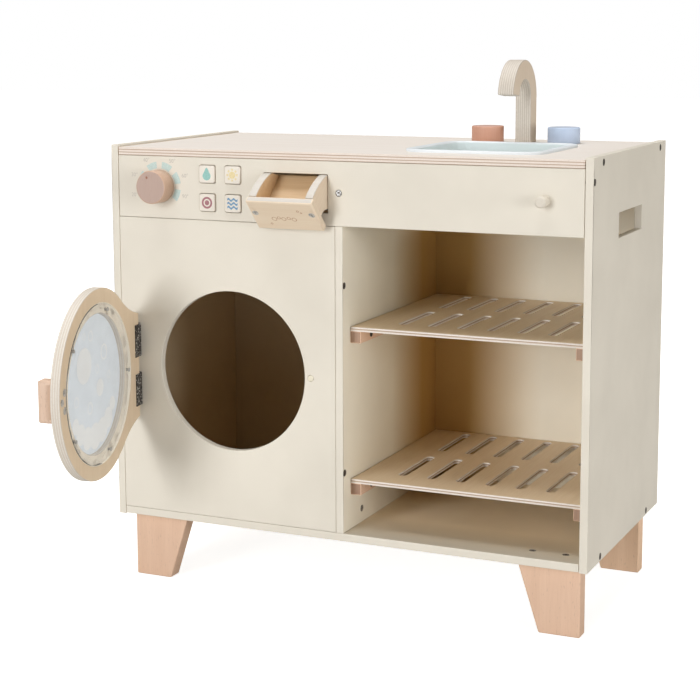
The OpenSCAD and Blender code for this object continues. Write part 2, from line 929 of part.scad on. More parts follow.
// The disc behind the board and the screw that holds it to the spindle
module knob_retainer() {
    difference() {
        translate([0, 0, -board_t - turn_gap - retainer_t])
            cylinder(r = retainer_r, h = retainer_t);
        retainer_screw_hole();
    }
    translate([0, 0, -board_t - turn_gap - retainer_t]) rotate([180, 0, 0]) screw(14);
}

module dial_knob() {
    color(beech) in_cabinet() translate([dial_x, 0, dial_z]) rotate([90, 0, 0]) difference() {
        turning_knob(dial_r, dial_out);
        retainer_screw_hole();
        rotate([0, 0, dial_dot_angle]) translate([dial_dot_r, 0, dial_out - 1])
            cylinder(r = 1.6, h = 2);
    }
}

module dial_retainer() {
    color(steel) in_cabinet() translate([dial_x, 0, dial_z]) rotate([90, 0, 0])
        knob_retainer();
}

module tap_knob(side) {
    in_cabinet() translate([tap_x + side * knob_spread, knob_y, worktop_top]) difference() {
        turning_knob(knob_d / 2, knob_h);
        retainer_screw_hole();
    }
}

module tap_retainer(side) {
    color(steel) in_cabinet() translate([tap_x + side * knob_spread, knob_y, worktop_top])
        knob_retainer();
}

// ---------- buttons ----------

module button(column, row) {
    color(pale_wood) in_cabinet() translate([button_xs[column], 0, button_zs[row]]) {
        along_y(-button_out, button_out + flange_y) centred_square(button_side, button_round);
        along_y(flange_y, flange_t) centred_square(flange_side, button_round);
        translate([0, flange_y, 0]) rotate([-90, 0, 0])
            cylinder(r = stem_r, h = flange_t + stem_len);
    }
}

module button_housing() {
    color(white) in_cabinet() difference() {
        translate([housing_l, board_t, housing_low])
            cube([housing_r - housing_l, housing_d, housing_high - housing_low]);
        at_buttons() along_y(board_t - past, pocket_floor - board_t + past)
            centred_square(flange_side + 2 * pocket_play, button_round);
        at_buttons() translate([0, board_t, 0]) rotate([-90, 0, 0])
            cylinder(r = spring_bore_r, h = spring_floor - board_t);
        at_housing_screws() screw_hole(housing_d + 6);
    }
}

module button_housing_screws() {
    color(steel) in_cabinet() at_housing_screws() screw(housing_d + 6);
}

// Each spring is a wire that winds from the flange to the floor of its bore
module button_springs() {
    spring_start = flange_y + flange_t;
    spring_len = spring_floor - spring_start;
    color(steel) in_cabinet() at_buttons() translate([0, spring_start, 0])
        rotate([-90, 0, 0]) linear_extrude(spring_len, twist = -360 * spring_turns,
            slices = 14 * spring_turns, segments = 6)
            translate([spring_r, 0]) circle(spring_wire_r, $fn = 6);
}

// ---------- soap tray ----------

module tray_front() {
    color(pale_wood) on_tray() difference() {
        translate([tray_x - tray_overlap, tray_front_y, tray_low])
            rounded_block([tray_w + 2 * tray_overlap, tray_plate_t, tray_h], tray_round);
        at_tray_screws() screw_hole(panel_screw_len);
    }
}

// Side outline of a cheek: a long arc on top that stays below the opening's edge
module cheek_outline() {
    difference() {
        intersection() {
            translate([tray_back_y, cheek_low]) square([tray_len, tray_h * 2]);
            translate([tray_back_y, tray_low + tray_h - cheek_arc_r])
                circle(cheek_arc_r, $fn = 128);
            translate([tray_pivot_y, tray_pivot_z]) circle(cheek_clear_r, $fn = 96);
        }
        translate([tray_back_y - past, cheek_low - past])
            square([board_t - tray_back_y + past, tray_floor_z - cheek_low + past]);
        translate([tray_pivot_y, tray_pivot_z]) circle(cheek_relief_r, $fn = 64);
    }
}

module tray_cheek(x0) {
    color(pale_wood) on_tray() difference() {
        along_x(x0, cheek_t) cheek_outline();
        at_tray_screws() screw_hole(panel_screw_len);
        at_tray_stops() cylinder(r = stop_r + seat_play / 2, h = stop_seat + stop_out);
    }
}

module tray_floor() {
    color(pale_wood) on_tray() translate([tray_x + cheek_t, tray_back_y, tray_floor_z])
        cube([tray_w - 2 * cheek_t, tray_len, tray_floor_t]);
}

module tray_screws() {
    color(steel) on_tray() at_tray_screws() screw(panel_screw_len);
}

// Places of the stop dowels: their outer ends reach past the opening
module at_tray_stops() {
    translate([tray_x - stop_out, tray_pivot_y + stop_reach, tray_pivot_z + stop_rise])
        rotate([0, 90, 0]) children();
    translate([tray_x + tray_w - stop_seat, tray_pivot_y + stop_reach, tray_pivot_z + stop_rise])
        rotate([0, 90, 0]) children();
}

module tray_stops() {
    color(beech) on_tray() at_tray_stops() cylinder(r = stop_r, h = stop_seat + stop_out);
}

// Knuckle of a flap hinge, counted from its left end
module flap_knuckle(index) {
    translate([index * flap_knuckle + knuckle_gap / 2, 0, 0]) rotate([0, 90, 0])
        cylinder(r = flap_r, h = flap_knuckle - knuckle_gap, $fn = 24);
}

module flap_room(index) {
    translate([index * flap_knuckle - knuckle_gap / 2, -flap_r * 2, -flap_r * 2])
        cube([flap_knuckle + knuckle_gap, flap_r * 4, flap_r * 2 + flap_r + 0.3]);
}

module flap_pin_hole() {
    translate([-past, 0, 0]) rotate([0, 90, 0])
        cylinder(r = flap_pin_r + pin_play, h = flap_len + 2 * past, $fn = 24);
}

// One leaf with its knuckles: a plate that rises from the axis at y0
module flap_leaf(own, other, y0) {
    difference() {
        union() {
            for (i = own) flap_knuckle(i);
            difference() {
                translate([0, y0, 0]) cube([flap_len, flap_leaf_t, flap_top - tray_pivot_z]);
                for (i = other) flap_room(i);
            }
        }
        flap_pin_hole();
    }
}

module tray_hinge_rail_leaves() {
    color(steel) in_cabinet() for (x = flap_xs)
        translate([x, tray_pivot_y, tray_pivot_z])
            flap_leaf([0, 2], [1], -tray_pivot_y - flap_leaf_t);
}

module tray_hinge_leaves() {
    color(steel) on_tray() for (x = flap_xs)
        translate([x, tray_pivot_y, tray_pivot_z])
            flap_leaf([1], [0, 2], tray_back_y - tray_pivot_y);
}

module tray_hinge_pins() {
    color(steel) in_cabinet() for (x = flap_xs)
        translate([x, tray_pivot_y, tray_pivot_z]) rotate([0, 90, 0])
            cylinder(r = flap_pin_r, h = flap_len, $fn = 24);
}

// ---------- shelves ----------

module shelf(top) {
    color(plywood) in_cabinet() difference() {
        translate([shelf_l, shelf_front, top - shelf_t])
            cube([shelf_r - shelf_l, shelf_back - shelf_front, shelf_t]);
        for (i = [0 : slot_count - 1], row = [0, 1])
            translate([slot_first + i * slot_pitch - shelf_slot_w / 2,
                shelf_front + shelf_margin + row * (slot_row + slot_row_gap),
                top - shelf_t - past])
                linear_extrude(shelf_t + 2 * past)
                    rounded_square(shelf_slot_w, slot_row, shelf_slot_w / 2 - 0.01);
    }
}

// ---------- output ----------

side_panel_left();
side_panel_right();
bottom_board();
worktop();
back_panel();
divider_panel();
divider_block();
control_panel();
washer_front_panel();
batten(bay_l, upper_shelf_z);  // upper_batten_left
batten(inner_r - batten_w, upper_shelf_z);  // upper_batten_right
batten(bay_l, lower_shelf_z);  // lower_batten_left
batten(inner_r - batten_w, lower_shelf_z);  // lower_batten_right
leg(leg_front, false);  // leg_front_left
leg(leg_front, true);  // leg_front_right
leg(leg_rear, false);  // leg_rear_left
leg(leg_rear, true);  // leg_rear_right
sink_basin();
tap_spout();
towel_peg();
panel_screws();
leg_screws();
batten_screws();
front_panel_magnet();
hinge_frame_leaves();
hinge_frame_screws();
hinge_pins();
button_housing();
button_housing_screws();
button_springs();
tray_hinge_rail_leaves();
tray_hinge_pins();
door_frame();
door_window();
window_screws();
door_handle();
handle_screws();
door_strike();
hinge_door_leaves();
hinge_door_screws();
dial_knob();
dial_retainer();
button(0, 1);  // button_top_left
button(1, 1);  // button_top_right
button(0, 0);  // button_bottom_left
button(1, 0);  // button_bottom_right
color(orange) tap_knob(-1);  // hot_tap_knob
tap_retainer(-1);  // hot_tap_retainer
color(blue) tap_knob(1);  // cold_tap_knob
tap_retainer(1);  // cold_tap_retainer
tray_front();
tray_cheek(tray_x);  // tray_cheek_left
tray_cheek(tray_x + tray_w - cheek_t);  // tray_cheek_right
tray_floor();
tray_screws();
tray_hinge_leaves();
tray_stops();
shelf(upper_shelf_z);  // shelf_upper
shelf(lower_shelf_z);  // shelf_lower
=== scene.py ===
"""Toy washing machine with sink: finishes, printed marks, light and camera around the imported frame."""
import json
import math

import bmesh
import bpy
from mathutils import Euler, Matrix, Vector

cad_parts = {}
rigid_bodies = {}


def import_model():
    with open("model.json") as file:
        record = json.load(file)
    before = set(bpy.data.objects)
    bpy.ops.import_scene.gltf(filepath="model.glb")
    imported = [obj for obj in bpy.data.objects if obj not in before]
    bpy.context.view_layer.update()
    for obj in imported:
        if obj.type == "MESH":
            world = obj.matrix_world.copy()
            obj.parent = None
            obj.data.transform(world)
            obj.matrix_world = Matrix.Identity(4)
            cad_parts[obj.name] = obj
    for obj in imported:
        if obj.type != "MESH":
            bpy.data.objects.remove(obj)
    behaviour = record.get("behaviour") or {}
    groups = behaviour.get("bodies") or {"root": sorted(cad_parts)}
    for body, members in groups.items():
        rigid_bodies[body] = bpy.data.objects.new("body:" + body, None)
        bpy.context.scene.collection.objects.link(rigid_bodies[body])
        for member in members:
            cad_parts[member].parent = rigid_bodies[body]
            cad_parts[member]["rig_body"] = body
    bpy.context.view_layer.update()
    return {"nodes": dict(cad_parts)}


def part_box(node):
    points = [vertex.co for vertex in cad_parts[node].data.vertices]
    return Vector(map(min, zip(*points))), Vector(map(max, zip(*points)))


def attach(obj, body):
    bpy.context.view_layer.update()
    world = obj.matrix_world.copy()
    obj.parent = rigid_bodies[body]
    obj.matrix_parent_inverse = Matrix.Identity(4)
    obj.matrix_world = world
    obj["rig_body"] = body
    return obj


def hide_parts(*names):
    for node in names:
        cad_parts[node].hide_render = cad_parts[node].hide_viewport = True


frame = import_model()

MM = 0.001

# The cabinet's lower front left corner, from which places are measured in millimetres
CORNER = Vector(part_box("side_panel_left")[0])
DIVIDER_LOW, DIVIDER_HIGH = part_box("divider_panel")
BACK_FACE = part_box("back_panel")[0][1]
WORKTOP_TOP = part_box("worktop")[1][2]

# Photograph: image side, focal length and optical axis in pixels; the camera's place in
# millimetres from the corner and its turns in degrees; its sensor's width in millimetres, which
# does not change the picture, and how far it sees in metres
IMAGE_SIDE = 700
FOCAL_PIXELS = 1700.0
AXIS_ACROSS = 325.9
AXIS_DOWN = 280
CAMERA_PLACE = (1058.6, -1683.1, 569.8)
CAMERA_YAW = 24.997
CAMERA_PITCH = 8.357
CAMERA_ROLL = -0.284
SENSOR_WIDTH = 36
CLIP_END = 60

# Plated screws, in millimetres from the corner: in the control panel's face, low in the divider;
# the parts of screws within this reach of them are plated
BRIGHT_SCREWS = ((289.5, 15, 384), (286, 52, 26))
SCREW_REACH = 25

# How the door and the soap tray stand when stored, in degrees
DOOR_OPEN = 80.6
TRAY_OPEN = 45
# The turns of their wood's grain
DOOR_GRAIN = (0, 0, DOOR_OPEN)
TRAY_GRAIN = (-TRAY_OPEN, 0, 0)

# Colours as they look on the object, 0 to 255
CREAM = (226, 219, 205)
# Inside faces: the cream painted lighter as painted light, and CREAM_SHADED as painted warm shade
CREAM_INSIDE_PAINTED_LIGHT = (244, 236, 217)
CREAM_SHADED = (200, 162, 98)
VENEER = (237, 230, 222)
VENEER_DARK = (228, 216, 206)
BEECH = (230, 195, 168)
BEECH_DARK = (214, 175, 146)
PALE_WOOD = (221, 204, 183)
PALE_WOOD_DARK = (207, 184, 156)
PALE_WOOD_EDGE = (205, 199, 190)
TRAY_INSIDE = (224, 195, 156)
DIAL_FACE = (186, 161, 148)
BUTTON_FACE = (233, 226, 214)
BLUE = (187, 202, 224)
SINK_RIM = (229, 234, 237)
SINK_MINT = (222, 231, 231)
MARK_GREY = (184, 177, 166)


def place(x, y, z):
    """A point given in millimetres from the cabinet's corner, in the frame's metres."""
    return CORNER + Vector((x, y, z)) * MM


def middle(node):
    """The middle of a node's box, in millimetres from the cabinet's corner."""
    low, high = (Vector(corner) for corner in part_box(node))
    return ((low + high) / 2 - CORNER) / MM


def front(node):
    """How far back the foremost point of a node lies, in millimetres from the corner."""
    return (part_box(node)[0][1] - CORNER.y) / MM


def linear(colour):
    """A colour given as 0 to 255, as the linear numbers that shaders take."""
    out = []
    for value in colour:
        c = value / 255
        out.append(c / 12.92 if c <= 0.04045 else ((c + 0.055) / 1.055) ** 2.4)
    return (*out, 1.0)


# -------- materials

# Paint: how many patches and how many bumps of roller texture to a metre, and the bumps' height
MOTTLING = 9
ROLLER_TEXTURE = 900
ROLLER_HEIGHT = 0.00006
PAINT_ROUGHNESS = 0.52

# Inside paint, in metres: where the painted warm shade starts to fade and where it ends, from the bay's
# far left corner, how far in the bottom board's painted front shade reaches, and how wide a change of
# colour is
PAINTED_SHADE_REACH = (0.045, 0.14)
FRONT_PAINTED_SHADE_REACH = 0.08
COLOUR_EDGE = 0.5 * MM
# How much of the painted warm shade the washer's inside takes
WASHER_PAINTED_SHADE = 0.55

# Wood: features to a metre along the grain and across it, the bands' share of the grain, and the
# grain's height in metres
WOOD_BANDS = (5, 85)
WOOD_FIBRES = (30, 900)
WOOD_FLECKS = (170, 780)
BAND_SHARE = 0.62
GRAIN_HEIGHT = 0.00012

# Plywood edge: how often and how far its layers waver, and its saw marks and their height
PLY_WAVER = 22
PLY_WAVER_DEPTH = 0.35 * MM
SAW_MARKS = 700
SAW_HEIGHT = 0.00015

# Features to a metre on plastic, steel, print and clear plastic, and the marks' height in metres
ORANGE_PEEL = 260
PLASTIC_CLOUDS = 14
STEEL_SCRATCHES = (120, 2600)
STEEL_SPOTS = 320
RUBBED_SPOTS = 430
INK_GRAIN = 1500
WINDOW_MARKS = 60
SMOOTH_HEIGHT = 0.00005
SCRATCH_HEIGHT = 0.00004


class Shader:
    """A material with a Principled shader, and short calls that add nodes to it."""

    def __init__(self, name, colour, roughness, **sockets):
        self.material = bpy.data.materials.new(name)
        self.material.use_nodes = True
        self.tree = self.material.node_tree
        self.main = self.tree.nodes["Principled BSDF"]
        self.main.inputs["Base Color"].default_value = linear(colour)
        self.main.inputs["Roughness"].default_value = roughness
        for socket, value in sockets.items():
            self.main.inputs[socket.replace("_", " ")].default_value = value

    def node(self, kind, **settings):
        made = self.tree.nodes.new("ShaderNode" + kind)
        for key, value in settings.items():
            setattr(made, key, value)
        return made

    def link(self, output, socket):
        self.tree.links.new(output, socket)

    def place(self, turn=(0, 0, 0), scale=(1, 1, 1)):
        """The object's own coordinates in metres, turned by degrees and then scaled."""
        source = self.node("TexCoord").outputs["Object"]
        turned = self.node("Mapping")
        turned.inputs["Rotation"].default_value = Euler([math.radians(a) for a in turn])
        self.link(source, turned.inputs["Vector"])
        scaled = self.node("Mapping")
        scaled.inputs["Scale"].default_value = scale
        self.link(turned.outputs["Vector"], scaled.inputs["Vector"])
        return scaled.outputs["Vector"]

    def noise(self, vector, scale, detail, roughness=0.55):
        made = self.node("TexNoise")
        made.inputs["Scale"].default_value = scale
        made.inputs["Detail"].default_value = detail
        made.inputs["Roughness"].default_value = roughness
        self.link(vector, made.inputs["Vector"])
        return made.outputs["Fac"]

    def ramp(self, factor, stops):
        """A colour ramp from (place, colour 0-255) stops."""
        made = self.node("ValToRGB")
        elements = made.color_ramp.elements
        while len(elements) < len(stops):
            elements.new(0.5)
        for element, (where, colour) in zip(elements, stops):
            element.position = where
            element.color = linear(colour)
        self.link(factor, made.inputs["Fac"])
        return made.outputs["Color"]

    def mix(self, first, second, factor):
        """Mixes two colours; each may be an output or a colour 0-255."""
        made = self.node("Mix", data_type="RGBA")
        for value, socket in ((first, made.inputs[6]), (second, made.inputs[7])):
            if isinstance(value, tuple):
                socket.default_value = linear(value)
            else:
                self.link(value, socket)
        if isinstance(factor, (int, float)):
            made.inputs[0].default_value = factor
        else:
            self.link(factor, made.inputs[0])
        return made.outputs[2]

    def math(self, operation, first, second):
        made = self.node("Math", operation=operation)
        for value, socket in ((first, made.inputs[0]), (second, made.inputs[1])):
            if isinstance(value, (int, float)):
                socket.default_value = value
            else:
                self.link(value, socket)
        return made.outputs[0]

    def spread(self, value, low, high, to_low=0.0, to_high=1.0):
        """Maps a value from one range to another, held at both ends."""
        made = self.node("MapRange")
        for socket, number in zip(("From Min", "From Max", "To Min", "To Max"),
                                  (low, high, to_low, to_high)):
            made.inputs[socket].default_value = number
        self.link(value, made.inputs["Value"])
        return made.outputs["Result"]

    def colour(self, output):
        self.link(output, self.main.inputs["Base Color"])

    def roughness(self, output):
        self.link(output, self.main.inputs["Roughness"])

    def bump(self, height, distance, strength):
        """Raises the surface by a height from 0 to 1 times a distance in metres."""
        made = self.node("Bump")
        made.inputs["Strength"].default_value = strength
        made.inputs["Distance"].default_value = distance
        self.link(height, made.inputs["Height"])
        self.link(made.outputs["Normal"], self.main.inputs["Normal"])


def along(axis, scales):
    """Scales for a texture that is stretched along one axis, 0 to 2: along it and across it."""
    scale = [scales[1]] * 3
    scale[axis] = scales[0]
    return tuple(scale)


def darker(colour, share):
    """A colour with each of its three numbers taken down to a share."""
    return tuple(int(value * share) for value in colour)


def paint_material(name, colour):
    """Satin paint: a faint roller texture, slight mottling, small gloss changes."""
    shader = Shader(name, colour, PAINT_ROUGHNESS, Specular_IOR_Level=0.3)
    wide = shader.noise(shader.place(), MOTTLING, 3)
    fine = shader.noise(shader.place(), ROLLER_TEXTURE, 3)
    worn = tuple(max(0, c - 5) for c in colour)
    clean = tuple(min(255, c + 2) for c in colour)
    shader.colour(shader.ramp(wide, [(0.32, worn), (0.62, clean)]))
    shader.roughness(shader.spread(fine, 0.3, 0.7, PAINT_ROUGHNESS - 0.05,
                                   PAINT_ROUGHNESS + 0.07))
    shader.bump(fine, ROLLER_HEIGHT, 0.35)
    return shader.material


def painted_light_inside_material(name, colour, front=None):
    """Satin paint inside the cabinet, its colour painted lighter than the outside paint as painted
    light:
    painted warm shade in the washer and in the bay's far left corner, the outside colour above the
    worktop and behind the back panel, and a painted shade of its own towards the front if one is given."""
    shader = Shader(name, colour, 0.45)
    split = shader.node("SeparateXYZ")
    shader.link(shader.place(), split.inputs["Vector"])
    fine = shader.noise(shader.place(), ROLLER_TEXTURE, 3)
    wide = shader.noise(shader.place(), MOTTLING, 3)
    worn = tuple(c - 6 for c in colour)
    tone = shader.ramp(wide, [(0.32, worn), (0.62, colour)])
    # Painted warm shade, strongest at the bay's far left corner and in the washer
    corner = shader.node("VectorMath", operation="DISTANCE")
    shader.link(shader.place(scale=(1, 1, 0)), corner.inputs[0])
    corner.inputs[1].default_value = (DIVIDER_HIGH[0], BACK_FACE, 0)
    near = shader.spread(corner.outputs["Value"], *PAINTED_SHADE_REACH, 1, 0)
    divide = (DIVIDER_LOW[0] + DIVIDER_HIGH[0]) / 2
    washer_shade_mask = shader.spread(split.outputs[0], divide, divide + 2 * COLOUR_EDGE,
                              WASHER_PAINTED_SHADE, 0)
    tone = shader.mix(tone, CREAM_SHADED, shader.math("MAXIMUM", near, washer_shade_mask))
    # Painted shade towards the front, where a front colour is given
    if front:
        tone = shader.mix(front, tone, shader.spread(split.outputs[1], CORNER.y,
                                                     CORNER.y + FRONT_PAINTED_SHADE_REACH))
    above = shader.spread(split.outputs[2], WORKTOP_TOP, WORKTOP_TOP + COLOUR_EDGE)
    behind = shader.spread(split.outputs[1], BACK_FACE, BACK_FACE + COLOUR_EDGE)
    shader.colour(shader.mix(tone, CREAM, shader.math("MAXIMUM", above, behind)))
    shader.roughness(shader.spread(fine, 0.3, 0.7, 0.4, 0.52))
    shader.bump(fine, ROLLER_HEIGHT, 0.35)
    return shader.material


def wood_material(name, light, dark, axis=2, turn=(0, 0, 0), flecks=0.0, roughness=0.5,
                  strength=0.55, gloss=0.5):
    """Lacquered wood: growth bands and fine fibres that run along one axis, with ray flecks."""
    shader = Shader(name, light, roughness, Specular_IOR_Level=gloss)
    bands = shader.noise(shader.place(turn, along(axis, WOOD_BANDS)), 1.0, 5, 0.6)
    fibres = shader.noise(shader.place(turn, along(axis, WOOD_FIBRES)), 1.0, 3, 0.5)
    grain = shader.math("ADD", shader.math("MULTIPLY", bands, BAND_SHARE),
                        shader.math("MULTIPLY", fibres, 1 - BAND_SHARE))
    amount = shader.math("MULTIPLY", shader.spread(grain, 0.36, 0.66), strength)
    tone = shader.mix(light, dark, amount)
    if flecks:
        spots = shader.noise(shader.place(turn, along(axis, WOOD_FLECKS)), 1.0, 2, 0.4)
        mask = shader.math("MULTIPLY", shader.spread(spots, 0.64, 0.72), flecks)
        tone = shader.mix(tone, darker(dark, 0.74), mask)
    shader.colour(tone)
    shader.roughness(shader.spread(fibres, 0.3, 0.7, roughness - 0.06, roughness + 0.08))
    shader.bump(grain, GRAIN_HEIGHT, 0.4)
    return shader.material


def ply_edge_material(name, direction, layer, light, dark, turn=(0, 0, 0), offset=0.0,
                      contrast=1.0, glue=None, thin=False):
    """The edge of plywood: thin layers across one direction, every second one end grain.

    layer is a layer's thickness and offset shifts them, in metres. thin makes pale layers
    that darken towards a narrow line of glue."""
    shader = Shader(name, light, 0.6)
    split = shader.node("SeparateXYZ")
    shader.link(shader.place(turn), split.inputs["Vector"])
    waver = shader.noise(shader.place(turn), PLY_WAVER, 2)
    depth = shader.math("ADD", split.outputs[direction],
                        shader.math("MULTIPLY", waver, PLY_WAVER_DEPTH))
    count = shader.math("MULTIPLY", shader.math("ADD", depth, offset), 1 / (2 * layer))
    glue = glue or darker(dark, 0.8)
    if thin:
        stops = [(0.0, light), (0.5, dark), (0.58, glue), (0.78, glue), (0.88, dark),
                 (1.0, light)]
    else:
        stops = [(0.0, glue), (0.05, light), (0.47, light), (0.52, glue), (0.57, dark),
                 (0.96, dark)]
    saw = shader.noise(shader.place(turn), SAW_MARKS, 3)
    between = tuple((a + b) // 2 for a, b in zip(light, dark))
    layers = shader.mix(between, shader.ramp(shader.math("FRACT", count, 0), stops), contrast)
    shader.colour(shader.mix(layers, darker(dark, 0.85), shader.spread(saw, 0.5, 0.8, 0, 0.35)))
    shader.bump(saw, SAW_HEIGHT, 0.4)
    return shader.material


def shelf_edge_material(node):
    """A shelf's three plies: pale, a thin dark middle, pale."""
    low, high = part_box(node)
    ply = (high[2] - low[2]) / 3
    return ply_edge_material(node + "_edge", 2, layer=ply, light=(240, 234, 227), thin=True,
                             dark=(222, 206, 190), glue=(168, 142, 120),
                             offset=-low[2] - 0.32 * ply)


def plastic_material(name, colour, roughness):
    """Moulded plastic or enamel with a slight orange peel."""
    shader = Shader(name, colour, roughness, Specular_IOR_Level=0.35)
    peel = shader.noise(shader.place(), ORANGE_PEEL, 2)
    wide = shader.noise(shader.place(), PLASTIC_CLOUDS, 2)
    shader.colour(shader.mix(colour, tuple(max(0, c - 6) for c in colour),
                             shader.spread(wide, 0.35, 0.65)))
    shader.bump(peel, SMOOTH_HEIGHT, 0.3)
    return shader.material


def metal_material(name, colour, roughness, metallic=1.0):
    """Plated steel with fine upright drawing marks and small dull spots."""
    shader = Shader(name, colour, roughness, Metallic=metallic)
    marks = shader.noise(shader.place(scale=along(2, STEEL_SCRATCHES)), 1.0, 3)
    spots = shader.noise(shader.place(), STEEL_SPOTS, 3)
    shader.colour(shader.mix(colour, darker(colour, 0.72), shader.spread(spots, 0.45, 0.7)))
    shader.roughness(shader.spread(marks, 0.3, 0.7, roughness - 0.1, roughness + 0.15))
    shader.bump(marks, SCRATCH_HEIGHT, 0.4)
    return shader.material


def worn_material(name, colour, worn):
    """Blackened steel whose coat is rubbed through in small flecks."""
    shader = Shader(name, colour, 0.4, Metallic=0.3)
    spots = shader.noise(shader.place(), RUBBED_SPOTS, 3, 0.7)
    rubbed = shader.spread(spots, 0.58, 0.61)
    shader.colour(shader.mix(colour, worn, rubbed))
    shader.roughness(shader.spread(spots, 0.4, 0.7, 0.48, 0.26))
    shader.bump(spots, SMOOTH_HEIGHT, 0.5)
    return shader.material


def print_material(name, colour, roughness=0.5):
    """A printed mark: slightly uneven ink."""
    shader = Shader(name, colour, roughness)
    ink = shader.noise(shader.place(), INK_GRAIN, 3)
    faded = tuple(min(255, c + 26) for c in colour)
    shader.colour(shader.mix(colour, faded, shader.spread(ink, 0.4, 0.75)))
    return shader.material


def window_material(name, colour, alpha, roughness=0.08):
    """Clear plastic with a faint tint and fine surface marks."""
    shader = Shader(name, colour, roughness, Alpha=alpha, IOR=1.46)
    marks = shader.noise(shader.place(), WINDOW_MARKS, 3)
    dull = tuple(c - 5 for c in colour)
    shader.colour(shader.mix(dull, colour, shader.spread(marks, 0.4, 0.6)))
    shader.roughness(shader.spread(marks, 0.35, 0.7, roughness * 0.8, roughness * 1.2))
    return shader.material


